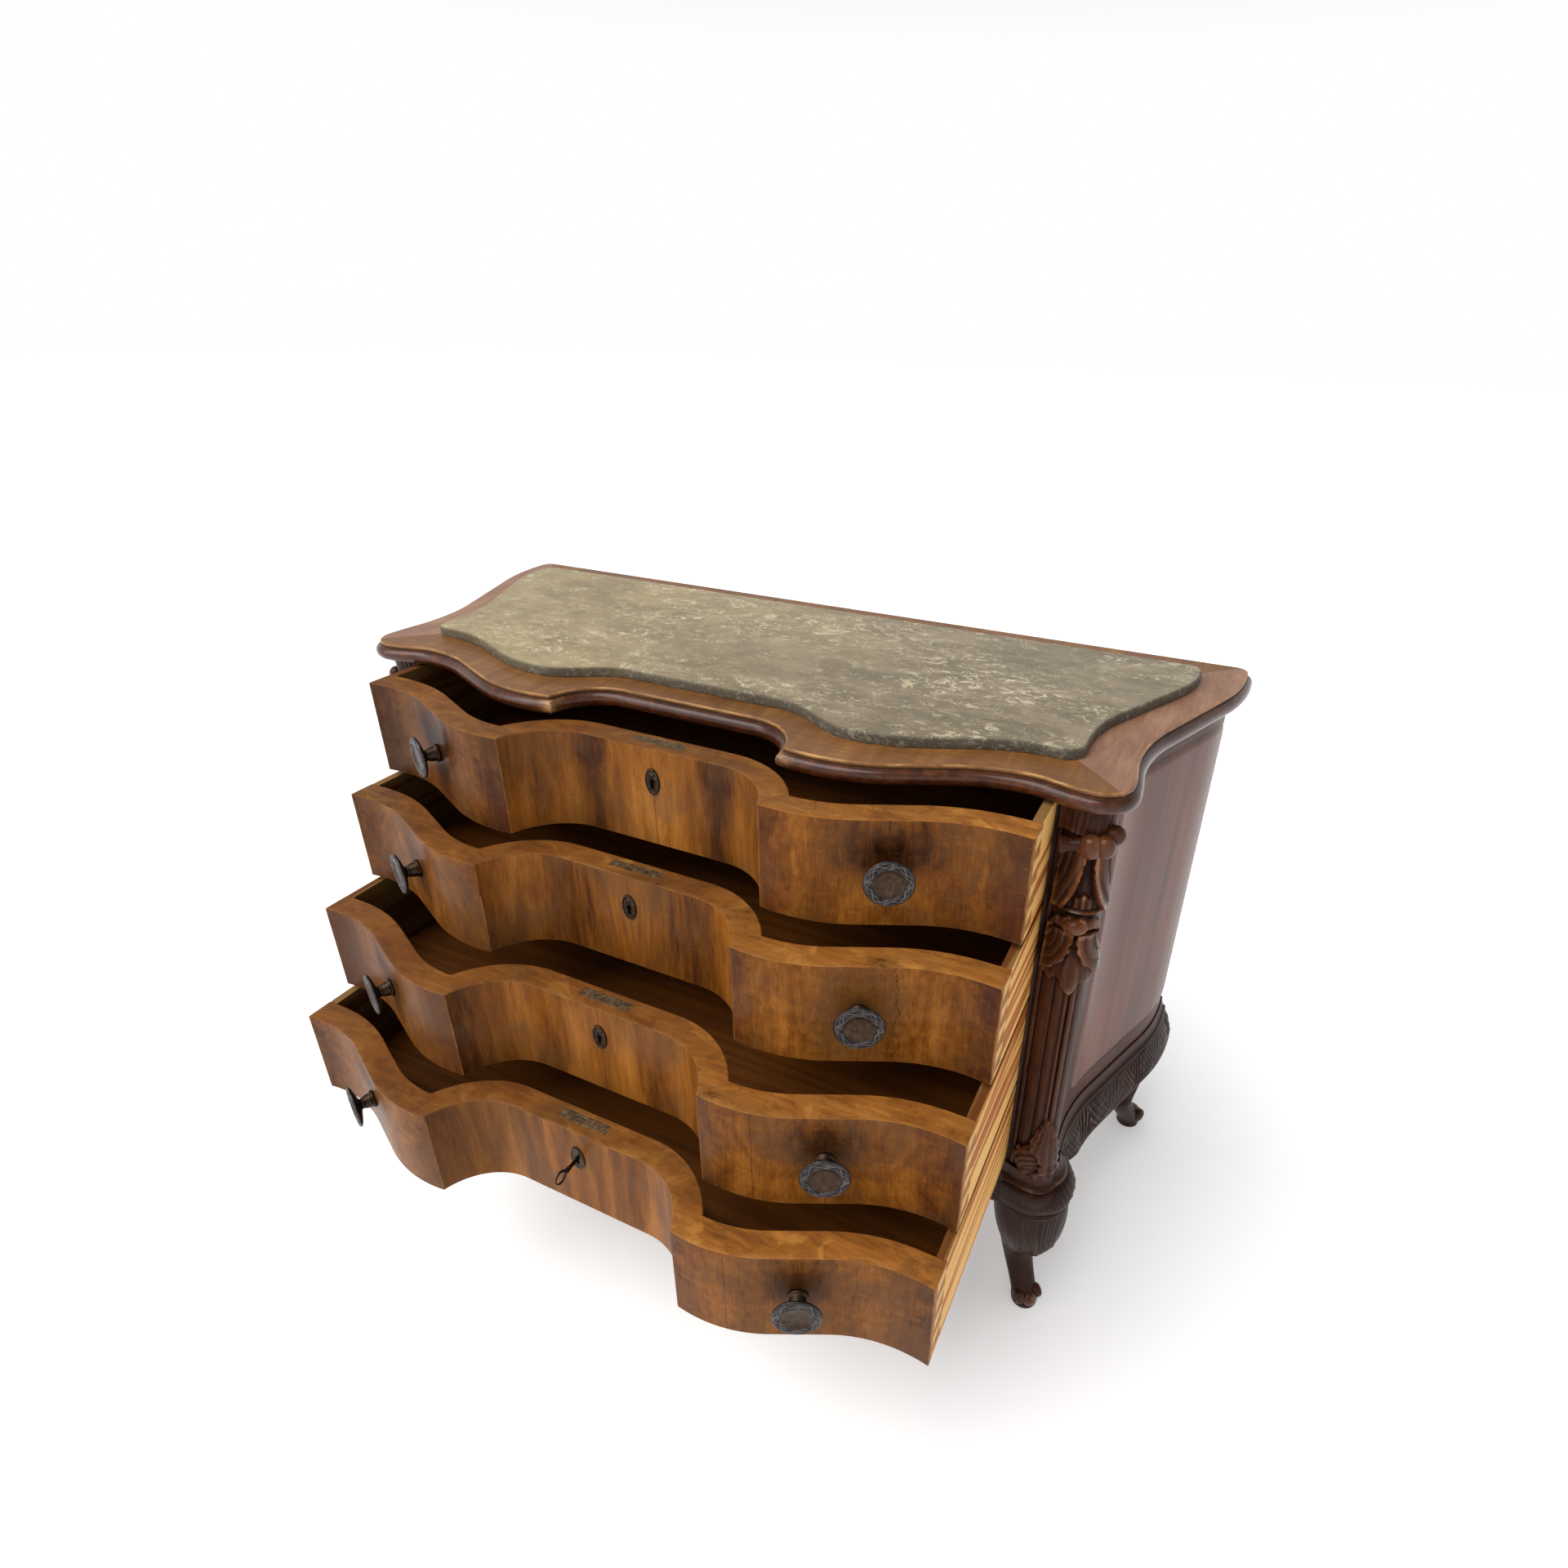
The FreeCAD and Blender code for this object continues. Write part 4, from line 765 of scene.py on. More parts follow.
# %% The front's rows
soft_edge = 1.1     # mm
face_heights = (soft_edge, 2.5, *np.linspace(6, DRAWER_HIGH - 6, 12), DRAWER_HIGH - 2.5, DRAWER_HIGH - soft_edge)
face_rows = [(0.0, h) for h in face_heights]
top_outs = np.linspace(-soft_edge, soft_edge - FRONT_THICK, 7)
top_rows = [(-0.35, DRAWER_HIGH - 0.3)] + [(out, DRAWER_HIGH) for out in top_outs]
back_rows = [(-FRONT_THICK, h) for h in (DRAWER_HIGH - soft_edge, DRAWER_HIGH / 2, soft_edge)]
low_rows = [(soft_edge - FRONT_THICK, 0.0), (-FRONT_THICK / 2, 0.0), (-soft_edge, 0.0)]
front_profile = face_rows + top_rows + back_rows + low_rows
print("a front has", len(front_profile), "rows of", len(face_line), "points")


def front_patch(level, opening):
    """The front's grid with its marks: mirrored grain, dark ends, a dark cloud over the knob that on the
    two lowest drawers is painted shadow of the knob, a purple tint that is painted sheen on the left outer
    sections, honey wood that is browner at the left than at the right, and each point's place on the flat
    face as (along, height)."""
    shape = swept(front_line, [(out, h + drawer_floor(level)) for out, h in front_profile])
    shape[..., 1] -= opening
    side, distance = np.sign(face_along), np.abs(face_along)
    outer = distance > cusp_along
    mirrored = np.where(outer, 900 + 700 * (side > 0) + np.abs(distance - seam_along), distance)
    height = np.array([h for _, h in front_profile])[:, None]
    grain = np.stack(np.broadcast_arrays(
        mirrored[None, :] + 37 * level, height, 300.0 * level + 100 * outer[None, :]), axis=-1)
    # The cloud is dark figure on the upper drawers and painted shadow of the knob on the two lowest.
    cloud = (0.75, 0.8, 0.3, 1.0)[level]
    knob = np.exp(-(((distance - seam_along) / 46) ** 2)[None, :] - ((height - 94) / 36) ** 2)
    ends = soft(distance, end_along - 75, end_along - 8)
    ends = ends + outer * (1 - soft(distance, cusp_along, cusp_along + 60)) * 0.7
    inner_dark = ~outer * soft(distance, cusp_along - 70, cusp_along) * 0.5
    top_drawer = level == 3
    flames = ~outer * (bell(distance, 88, 24) - bell(distance, 40, 26) * 0.4) * (0.95 if top_drawer else 0.35)
    flames = flames + top_drawer * (outer * (side < 0) * 0.35 - ~outer * 0.2)
    dark = knob * cloud + (ends * 0.45 + inner_dark + flames)[None, :]
    # purple tint: the veneer's own at the ends, painted sheen on the left outer sections
    violet = (ends * 0.9 + outer * (side < 0) * (0.35 + 0.3 * top_drawer))[None, :]
    face = np.stack(np.broadcast_arrays(face_along[None, :], height, 400.0 * level), axis=-1)
    rows = np.arange(len(front_profile))
    depth = np.array([-out for out, _ in front_profile])[:, None]
    # browner towards the left of the front, with a slow unevenness
    soil = 0.72 - 0.6 * soft(face_along, 20, 330) + 0.2 * ripple(face_along, 300.0 * level, 21, 260)
    return patch(
        shape, rows_meet=True, paint=np.where(rows < len(face_rows) - 1, 0, 1)[:, None], lid_paint=2,
        grain=grain, face=face, depth=depth, outer=outer[None, :] * 1.0,
        dark=np.clip(dark, -0.3, 1.2), violet=np.clip(violet, 0, 1),
        split=(side * (level == 2) > 0)[None, :] * 1.0, soil=np.clip(soil, 0, 1)[None, :])


# %% [markdown]
# ## Keyholes and lock pockets
# A joiner chops a pocket for the lock into the front's top edge, sinks a bed for its plate and bores the
# keyhole. These holes have sharp edges and cross the front's rows anywhere, so they are Boolean cuts
# here, and each tool brings the finish that its walls are to show.

# %% Keyhole and lock pocket
KEYHOLE_UP, LOCK_SETBACK = 88.0, 19.0


def keyhole_reach(angle, grow=0.0):
    """Radius of the keyhole's outline about its round's centre: a circle of 2.9 mm, and downwards a
    slot 3.4 mm wide that ends 10 mm below. The larger of the two is taken at each angle."""
    down, aside = -np.sin(angle), np.abs(np.cos(angle))
    across, below = (1.7 + grow) / np.maximum(aside, 1e-6), (10 + grow) / np.maximum(down, 1e-6)
    return np.maximum(2.9 + grow, np.where(down > 0, np.minimum(across, below), 0))


def rectangle(half_x, half_y, round_off, count=6):
    """A rectangle with rounded corners, as a closed line of points anticlockwise."""
    turn = np.concatenate([np.linspace(q, q + 1, count) * math.pi / 2 for q in range(4)])
    corner = np.repeat(np.array([[1, 1], [-1, 1], [-1, -1], [1, -1]]), count, axis=0)
    rounds = round_off * np.stack([np.cos(turn), np.sin(turn)], axis=1)
    return corner * at(half_x - round_off, half_y - round_off) + rounds


def pocket_tool(level, opening):
    """The shape that is cut out of a front: the plate's bed, the lock case's pocket and the keyhole."""
    top = drawer_floor(level) + DRAWER_HIGH
    middle = at(0, LOCK_SETBACK - opening)
    bed = np.stack([lifted(rectangle(36.3, 7.3, 1.5) + middle, top + h) for h in (-2.2, 3.0)])
    pocket = np.stack([lifted(rectangle(28.3, 6.3, 1.0) + middle, top + h) for h in (-61, -1.0)])
    angle = full_turn(48)
    reach = keyhole_reach(angle, 0.15)
    ring = np.stack([reach * np.cos(angle), np.zeros(48), reach * np.sin(angle)], axis=1)
    ring = ring + np.array([0, 0, drawer_floor(level) + KEYHOLE_UP])
    hole = np.stack([ring + np.array([0, y - opening, 0]) for y in (-6, LOCK_SETBACK)])
    return [patch(shape, columns_meet=True, paint=kind, lid_paint=kind)
            for shape, kind in ((bed, 1), (pocket, 1), (hole, 3))]


# %% [markdown]
# ## Cutting the fronts
# The tools are made as pieces, cut, and thrown away. The modifier could stay on the front, but then the
# tools would have to stay too, so the cut mesh is kept and the tools go.

# %% Fronts with their cuts
def cut_out(front, tools):
    """Takes the tools' space out of a piece with exact Booleans and keeps the result as its mesh."""
    for tool in tools:
        cut = front.modifiers.new("pocket", "BOOLEAN")
        cut.solver, cut.operation, cut.object = "EXACT", "DIFFERENCE", tool
    shaped = bpy.data.meshes.new_from_object(front.evaluated_get(bpy.context.evaluated_depsgraph_get()))
    front.modifiers.clear()
    front.data = shaped
    for tool in tools:
        bpy.data.objects.remove(tool)


for level, (drawer, opening) in enumerate(DRAWERS.items()):
    front = piece(
        f"{drawer}_veneered_front", [front_patch(level, opening)], front_finishes, drawer,
        [f"{drawer}_front"])
    cut_out(front, [piece(f"{drawer}_tool_{n}", [shape], front_finishes)
                    for n, shape in enumerate(pocket_tool(level, opening))])

# %% [markdown]
# ## The dark carved walnut
# Posts, base and legs are solid walnut, stained nearly black-brown and waxed. The gouges are painted
# darker, as dirt and as painted shade, and the high places lighter, as wear from hands and as painted
# highlight. A pointiness node could find them, but it depends on the mesh's edges, so the mesh carries
# how high each point stands against its neighbours, and the finish mixes dark, red-brown and golden
# wood by that mark.

# %% Carved finish
def carved_walnut():
    f = Finish("carved_walnut", Coat_Roughness=0.2, Coat_IOR=1.4, Specular_IOR_Level=0.08)
    grain = f.noise(f.place((1, 1, 0.07)), 2.6, 4, 0.62)
    cloud = f.noise(f.place((1, 1, 0.4)), 60, 3, 0.5)
    # high: low places are painted darker as dirt and shade, high places lighter as wear and painted highlight
    high = f.mark("high")
    tone = grain * 0.3 + cloud * 0.35 + high * 0.4 - 0.04
    colour = f.ramp(
        tone, (0.2, paint(11, 5, 3)), (0.42, paint(44, 22, 13)), (0.6, paint(80, 45, 26)), (0.8, paint(116, 69, 38)))
    low = 1 - f.axis(f.place(), "Z").between(250, 330)
    colour = f.mix(low * 0.55, colour, paint(22, 14, 12))
    rub = f.noise(f.place(), 18, 4, 0.65)
    gold = (high + low * 0.08 - 0.62).between(0.06, 0.36) * rub.between(0.45, 0.68)
    colour = f.mix(gold * 0.6, colour, paint(158, 98, 50))
    rough = 0.5 - high * 0.24 + grain * 0.14
    return f.finish(colour, rough, grain * 0.6 + rub * 0.3, 0.0003, 0.5, 0.04 + high * high * high * 0.75)


carved_finish = carved_walnut()

# %% [markdown]
# ## Carved corner posts
# A carver starts from a moulded post and cuts leaves, gouges and a scrolled capital into it. Sculpting
# by hand would not be repeatable, so the carving is a height over the post's own surface: a function
# of the distance round the corner and of the height, with leaves as outlines crossed by gouges. The
# scroll, the round tips and the curls stand free, so they are turned shapes added to the same piece.

# %% Carving as heights
CASE_LOW, CASE_HIGH = 285.0, 562.8


def gouges(share, count):
    """Rounded ridges between sharp grooves: the size of a cosine that goes through count half turns."""
    return np.abs(np.cos(share * math.pi * count))


def strands(share):
    """Overlapping strands, as gouge cuts laid side by side: within each whole number the height rises
    evenly and ends in a soft step."""
    part = share - np.floor(share)
    return part * (1 - soft(part, 0.8, 1.0))


def reed(place, middle, half):
    """A half-round moulding across a face: the height of a circle's arc over its width."""
    return np.sqrt(np.clip(1 - ((place - middle) / half) ** 2, 0, 1))


# %% [markdown]
# ## The post's mouldings
# Beads and bands run up the whole post between its edges. A moulding plane could be swept along the
# corner, but the carving has to lie over it, so the section is a height over the distance round it.

# %% Mouldings of the shaft
def shaft_mouldings(a):
    """Bands, beads and grooves that run up the post, as a height over the distance round its corner."""
    rows = [(-56, -1.8), (-51, -1.8), (-50, 0.7), (-46, 0.7), (-45.2, -1.3), (-44.2, -1.3), (-43.4, 0.4), (-35.5, 1.9),
            (-28, 0.4), (-27.3, -1.5), (-26, -1.5), (-25.3, 0.5), (-20, 1.4), (-15.2, 0.5), (-14.5, -1.2), (-8.2, -1.2),
            (0.6, -1.2), (1.6, 0.6), (14, 0.7), (15, -0.9), (17, -0.9), (18, 0.5), (50, 0.3), (60, 0), (95, 0)]
    flat = np.interp(a, [r[0] for r in rows], [r[1] for r in rows])
    return flat + 3.2 * reed(a, -11.3, 2.7) + 3.6 * reed(a, -3.8, 4.0)


# %% [markdown]
# ## Leaves of the post
# From the top down hang a pair of leaves under the scroll, ruffled wings, a broad palmette, and at the
# foot a rising leaf with a shell. Each could be sculpted apart; as a formula of the place on the post it
# gives its height and where it lies, and the post takes the last form that covers a point.

# %% Leaves and wings
CARVED_AT = -12.5       # mm round the corner from its middle to the line that the carving hangs on


def capital_leaf(a, z):
    """Two leaves that droop from the scroll to both sides. Their strands are nested arcs about a point
    high on the outer side, stretched downwards. Between them a dark hollow opens, with small flutes
    at its lower end. Returns height and where the leaves are."""
    across, fall = np.abs(a - 2), np.clip(506 - z, 0, None) * 0.45
    reach = np.hypot(across - 46, fall)
    leaf = (reach < 43) & (across < 46)
    lines = strands(reach / 9.5 + 0.12 * np.sin(z / 17) + 0.05 * np.sin(a / 3))
    height = 3.0 + 7.0 * soft(reach, 4, 40) + 2.2 * (lines - 0.4) + 1.2 * bell(reach, 41.6, 1.5)
    hollow = np.where(z < 449 + 3 * np.sin(a / 1.9), 0.4 + 2.2 * gouges((a - 2) / 7.5, 1), -2.2)
    return np.where(leaf, height, hollow), (z < 514) & (z > 430 + 1.6 * np.sin(a / 2.3)) & (across < 34)


def palmette(a, z):
    """A drooping leaf. Below lies a broad tongue with three rounded tips and a few veins that fan out
    from its root; over it hang two side lobes with nested strands."""
    across, fall = np.abs(a), np.clip(398 - z, 0, None)
    reach = np.hypot(across - 34, fall * 0.62)
    lobe = (reach < 33 + 0.9 * np.sin(fall / 2.4)) & (across < 34)
    side = 5.5 + 6.0 * soft(reach, 4, 31) + 2.2 * (strands(reach / 8.5 + 0.08 * np.sin(a / 2.7)) - 0.4)
    tips = 60 + 24 * bell(a, 1, 9) + 9 * bell(across, 22, 6) + 1.3 * np.sin(a / 1.9)
    tongue = (fall < tips) & (across < 31)
    fan = np.arctan2(across, fall + 14)
    veins = strands(fan * 6.5 + 0.25 + 0.1 * np.sin(fall / 9))
    middle = 3.5 + 5.0 * np.sin(np.clip(fall / tips, 0, 1) * 2.7) + 1.9 * (veins - 0.4)
    return np.where(lobe, side, middle), (z < 404) & (tongue | lobe)


def foot_leaf(a, z):
    """A leaf that rises from the post's foot to a point, with scalloped sides, ribs along it and tips
    that curl out below, and a shell of nested arcs that curls over its left side."""
    up = z / 108
    half = 24 * np.clip(1 - np.clip(up, 0, 1) ** 1.7, 0, 1) ** 0.7 * (0.88 + 0.17 * gouges(up, 6.5))
    share = (a - 5) / np.maximum(half, 0.5)
    leaf = (np.abs(share) < 1) & (up < 1)
    ribs = strands(np.abs(share + 0.12 * np.sin(up * 3.3)) * 2.7 + 0.15)
    tips = 2.8 * bell(z, 15, 6) * gouges(share, 2.5)
    height = (3.0 + 7.0 * np.sin(np.clip(1 - up, 0, 1) * 2.5)) * (1 - 0.45 * share ** 2) + 2.2 * (ribs - 0.4) + tips
    reach = np.hypot(a + 15, (z - 26) * 0.72)
    shell = reach < 17 + 1.5 * np.sin(np.arctan2(z - 26, a + 15) * 9)
    curl = 11.5 - 5.5 * (reach / 17) ** 2 + 2.0 * (strands(np.hypot(a + 4, (z - 10) * 0.8) / 6.4) - 0.4)
    return np.where(shell, curl, height), leaf | shell


def wings(a, z):
    """Two ruffled bands beside the bulb between the leaves: a ridge along a shallow curve with a ragged
    lower edge, under a thin collar."""
    middle = 415 - 0.011 * a ** 2 + 1.2 * np.sin(a / 2.1)
    ridge_share = np.clip(1 - ((z - middle) / 8) ** 2, 0, 1)
    ruffles = 1.6 * (strands(a / 9 + (z - middle) / 26) - 0.4)
    collar = 5.0 * bell(z, 428.5, 1.8)
    inside = ((np.abs(z - middle) < 8) | (np.abs(z - 428.5) < 4)) & (np.abs(a) < 31)
    return np.maximum(9.0 * np.sqrt(ridge_share) * (1 - (np.abs(a) / 44) ** 2) + ruffles, collar), inside


# %% [markdown]
# ## The whole carving
# A carver works from the ground up: mouldings first, then leaves in the order in which they overlap. The
# heights could be added up, but a leaf hides what lies under it, so each form takes the place of the
# ground inside its outline.

# %% Carving laid over the mouldings
def post_carving(a, z):
    """The whole post: mouldings, then each carved form over what lies below it, with a hand's waver."""
    height = shaft_mouldings(a)
    aside = a - CARVED_AT
    neck = (z > 526) & (a > -51) & (a < 30)
    flutes = gouges((a + 0.9 * np.sin(z / 9)) / 50, 7.5)
    height = np.where(neck, 2.2 + 1.5 * flutes * (0.5 + 0.5 * np.sin(a / 6.0)) + 2.5 * soft(z, 548, 562), height)
    plain = (z < 526) & (z > 408) & (aside > -34) & (aside < 34)
    height = np.where(plain, np.minimum(height, 0.3), height)
    for form in (foot_leaf, palmette, capital_leaf, wings):
        raised, inside = form(aside, z)
        height = np.where(inside, np.maximum(raised, -2.4), height)
    return height + 0.3 * ripple(a, z, 11, 21)


def softened(field, reach):
    """Each value replaced by the mean of its neighbours within reach, along both directions: running
    sums are subtracted from each other."""
    for axis in (0, 1):
        ends = [(reach + 1, reach) if n == axis else (0, 0) for n in range(2)]
        total = np.cumsum(np.pad(field, ends, mode="edge"), axis=axis)
        span, last = 2 * reach + 1, total.shape[axis]
        field = (np.take(total, range(span, last), axis) - np.take(total, range(last - span), axis)) / span
    return field


# %% [markdown]
# ## The post's line
# A post fills the corner from the drawers' bay to the waist of the side, and its face goes round that
# corner. A flat grid could be bent, but that stretches it, so the line has evenly spaced points, and the
# distance along it is counted from the corner's middle.

# %% The post's line
inner_edge = at(bay, -2)
post_line = evenly(np.concatenate([
    Wave(inner_edge, corner_front, ACROSS, FORWARD, 1.6).points(0, 30),
    arc(corner_centre, corner_front, corner_side, 30), hip_wave.points(0, 30), [waist]]), 1.15)
post_out = outward(post_line)
post_along = along_line(post_line)
post_along = post_along - post_along[np.argmax(post_line[:, 0] - post_line[:, 1])]
inner_line = np.array([[bay, 80.0], [bay, 40.0]])
print(f"post line from {post_along[0]:.0f} to {post_along[-1]:.0f} mm, {len(post_line)} points")

# %% [markdown]
# ## Turned shapes
# Balls, scrolls, stems and screw heads come from a lathe. A Screw modifier would turn a profile too, but
# it leaves no rows and columns to add ornament to, so the rings are worked out as arrays.

# %% Turned shapes
def turned(profile, centre, axis, count=28):
    """A profile of (distance along, radius) turned about an axis through centre: the radius times
    (cos, sin) of the turn, on two directions square to the axis."""
    axis = np.array(axis, float) / np.linalg.norm(axis)
    side = np.cross(axis, (0.0, 0.0, 1.0) if abs(axis[2]) < 0.9 else (1.0, 0.0, 0.0))
    side = side / np.linalg.norm(side)
    up = np.cross(axis, side)
    turn = full_turn(count)[None, :, None]
    along, radius = (np.array(v, float)[:, None, None] for v in zip(*profile))
    return np.array(centre, float) + axis * along + radius * (np.cos(turn) * side + np.sin(turn) * up)


def ball(centre, radius, axis=(0, 0, 1), squeeze=1.0, count=24):
    """A sphere or a flattened one, as a turned half circle with its poles closed by small lids."""
    turn = np.linspace(3, 177, 15) * math.pi / 180
    return turned([(-radius * squeeze * math.cos(t), radius * math.sin(t)) for t in turn], centre, axis, count)


# %% [markdown]
# ## The posts themselves
# The carved sheet is closed behind by two plain faces that stand in the case. Scroll, balls and tips of
# the capital are undercut, which a height over a sheet can't be, so they are turned shapes that sink
# into it. The left post is the right one in a mirror, as a carver would draw it.

# %% The posts
def post_patches():
    """The right corner post: the carved sheet closed by its plain inner faces, and the turned forms of
    its capital."""
    rows = np.arange(0, CASE_HIGH + 0.01, CASE_HIGH / 460)
    a, z = np.meshgrid(post_along, rows)
    height = post_carving(a, z)
    first, last = post_along[0], post_along[-1]
    height = height * (soft(post_along, first, first + 3) * (1 - soft(post_along, last - 4, last)))
    # The mark sinks in the gouges as painted shade and dirt, and rises on ridges as painted highlight and wear.
    high = np.clip(0.47 + (height - softened(height, 5)) / 5.4, 0, 1)
    sheet = post_line[None] + post_out[None] * height[..., None]
    ring = np.concatenate([sheet, np.broadcast_to(inner_line, (len(rows), 2, 2))], axis=1)
    points = lifted(ring, (rows + CASE_LOW)[:, None])
    marks = np.concatenate([high, np.full((len(rows), 2), 0.3)], axis=1)
    ahead, aside = np.array([0.156, -0.988, 0]), np.array([0.988, 0.156, 0])
    middle = np.array([*corner_centre, CASE_LOW + 517.8])
    scroll = [(-30.5, 3), (-30.5, 9), (-29.5, 11.0), (-27, 11.2), (-25, 10.0), (-22, 8.4), (-17, 7.6),
              (-11, 8.2), (-4, 9.4), (6, 10), (10, 9.4), (16, 8.0), (22, 6.0), (25, 3)]
    slant = aside + np.array([0, 0, 0.16])
    forms = [
        (0.56, turned(scroll, middle + ahead * 20 - aside * 3 + [0, 0, -2], slant, 36)),
        (0.84, ball(middle + ahead * 28, 12.6, squeeze=1.16)),
        (0.8, ball(middle + ahead * 25 + aside * 15 + [0, 0, 1], 11.6, squeeze=1.22)),
        (0.64, ball(middle + ahead * 14 + aside * 24 + [0, 0, 11], 11.4, ahead, 0.9)),
        (0.8, ball(middle + ahead * 27 - aside * 3 + [0, 0, -106], 9.5, aside, 1.5)),
        (0.66, ball(middle + ahead * 24 - aside * 15 + [0, 0, -505], 7, aside, 0.8))]
    return [patch(points, columns_meet=True, high=marks)] + [
        patch(form, columns_meet=True, high=level) for level, form in forms]


def mirrored_patch(shape):
    """The same patch on the other side of the chest: x changes sign, and so faces are turned."""
    return {**shape, "points": shape["points"] * [-1, 1, 1], "quads": shape["quads"][:, ::-1],
            "lids": [lid[::-1] for lid in shape["lids"]]}


def right_and_left(name, node, shapes, finish, sharp=38):
    """A piece on the chest's right and its mirror image on the left; {} stands for the side in names."""
    for side, made in (("right", shapes), ("left", [mirrored_patch(shape) for shape in shapes])):
        piece(name.format(side), made, [finish], nodes=[node.format(side)], sharp=sharp)


right_and_left("{}_carved_post", "{}_front_post", post_patches(), carved_finish, 60)

# %% [markdown]
# ## The veneer of the sides
# The sides are red-brown veneer with upright grain, darker on the flat band round the field, and the
# crease between the two is painted dark as shade. Band and painted shade could be traced by hand; the mesh
# knows how far each point is from the field's edge, so both come from marks.

# %% Side finish
def side_veneer():
    f = Finish("side_veneer", Coat_Roughness=0.2, Coat_IOR=1.35, Specular_IOR_Level=0.1)
    grain = f.noise(f.place((1, 1, 0.035)), 3.4, 4, 0.6)
    streak = f.noise(f.place((1, 1, 0.05)), 26, 4, 0.55, 0.4)
    cloud = f.noise(f.place((1, 1, 0.5)), 150, 3, 0.5)
    tone = grain * 0.24 + streak * 0.42 + cloud * 0.45 - 0.03
    colour = f.ramp(tone, (0.3, paint(54, 26, 17)), (0.5, paint(90, 48, 33)), (0.72, paint(122, 70, 48)))
    band = f.ramp(
        grain * 0.55 + streak * 0.45, (0.3, paint(38, 20, 13)), (0.5, paint(66, 36, 24)), (0.7, paint(92, 54, 37)))
    colour = f.mix(f.mark("band") * 0.9, colour, band)
    # The crease round the field is painted dark as shade.
    colour = f.mix(f.mark("dirt") * 0.7, colour, paint(22, 10, 7))
    coat = 0.28 - f.mark("band") * 0.25
    return f.finish(colour, 0.3 + grain * 0.14, grain * 0.5 + streak * 0.3, 0.00025, 0.4, coat)


side_finish = side_veneer()

# %% [markdown]
# ## Side panels
# A side is a broad S-shaped board with a raised field that has rounded corners. The board could be
# bent with a curve modifier; here its face is the plan's own wave, lifted by a field whose height
# comes from the distance to a rounded rectangle.

# %% Side panels with their fields
panel_line = evenly(np.concatenate([side_wave.points(0, 60), [flare, at(flare[0], case_back)]]), 3.0)
panel_out = outward(panel_line)


def field_distance(y, z):
    """How far a point lies outside the raised field, negative inside: the distance to a rectangle
    that is smaller by the corners' radius, less that radius."""
    low, high, radius = np.array([114.0, 34.0]), np.array([406.0, CASE_HIGH - 34]), 28.0
    middle, half = (low + high) / 2, (high - low) / 2 - radius
    past = np.abs(np.stack([y, z], axis=-1) - middle) - half
    return np.linalg.norm(np.maximum(past, 0), axis=-1) + np.minimum(past.max(axis=-1), 0) - radius


def panel_patch():
    """The right panel: its lifted outer face joined to the plain inner face 20 mm behind it."""
    rows = np.linspace(0, CASE_HIGH, 190)
    y, z = np.meshgrid(panel_line[:, 1], rows)
    outside = field_distance(y, z)
    height = 2.5 * (1 - soft(outside, -9, 1)) - 0.9 * bell(outside, 2.5, 2.2)
    face = panel_line[None] + panel_out[None] * height[..., None]
    inner = (panel_line - panel_out * 20)[::-8]
    ring = np.concatenate([face, np.broadcast_to(inner, (len(rows), *inner.shape))], axis=1)
    blank = np.zeros((len(rows), len(inner)))
    return patch(
        lifted(ring, (rows + CASE_LOW)[:, None]), columns_meet=True,
        band=np.concatenate([soft(outside, -3, 3), blank + 1], axis=1),
        # painted shade in the crease round the field
        dirt=np.concatenate([bell(outside, 2.2, 2.0), blank], axis=1))


right_and_left("{}_waved_side", "{}_side_panel", [panel_patch()], side_finish)

# %% [markdown]
# ## The carved base
# Under the case runs a cove and a band carved with slanting leaves. A length of band could be made once
# and repeated by an array, but its ends would show, and a carver's strokes differ. So the relief is a
# height over (distance along, height), added to the profile's own out.

# %% Base mouldings
BASE_LOW = 216.0                    # mm from the floor to the base
BAND_LOW, BAND_TALL = 219, 43       # mm: the carved band's lower edge and its height


def leaf_band(along, z):
    """Leaves cut into a smooth band. Strokes lean to both sides of a leaf's middle, so the distance
    along is folded there; they are deep in clusters, where a slow wave is high, over a gentle swell."""
    up = (z - BAND_LOW) / BAND_TALL
    window = np.clip(1 - (2 * up - 1) ** 6, 0, 1) * (up > 0) * (up < 1)
    place = along + 9 * np.sin(along / 41)
    folded = np.abs(np.mod(place / 74, 1) - 0.5) * 74
    strokes = strands((folded + 26 * up) / 9.5 + 0.3 * np.sin(up * 3.2))
    cluster = soft(ripple(along, 0, 14, 80), -0.6, 0.6)
    swell = np.cos((place + 20 * up) / 37 * math.pi)
    cut = 2.6 * (strokes - 0.4) * (0.35 + 0.65 * cluster)
    return window * (cut + 0.7 * swell + 0.6 * ripple(along, z * 2, 4, 26))


# %% [markdown]
# ## The base's profile
# From the floor side up the moulding is a flat, the swelling band, a bead and a cove to the case. It could
# be a bevelled curve, but the band needs many rows for its strokes and the flats need few, so the rows
# are listed.

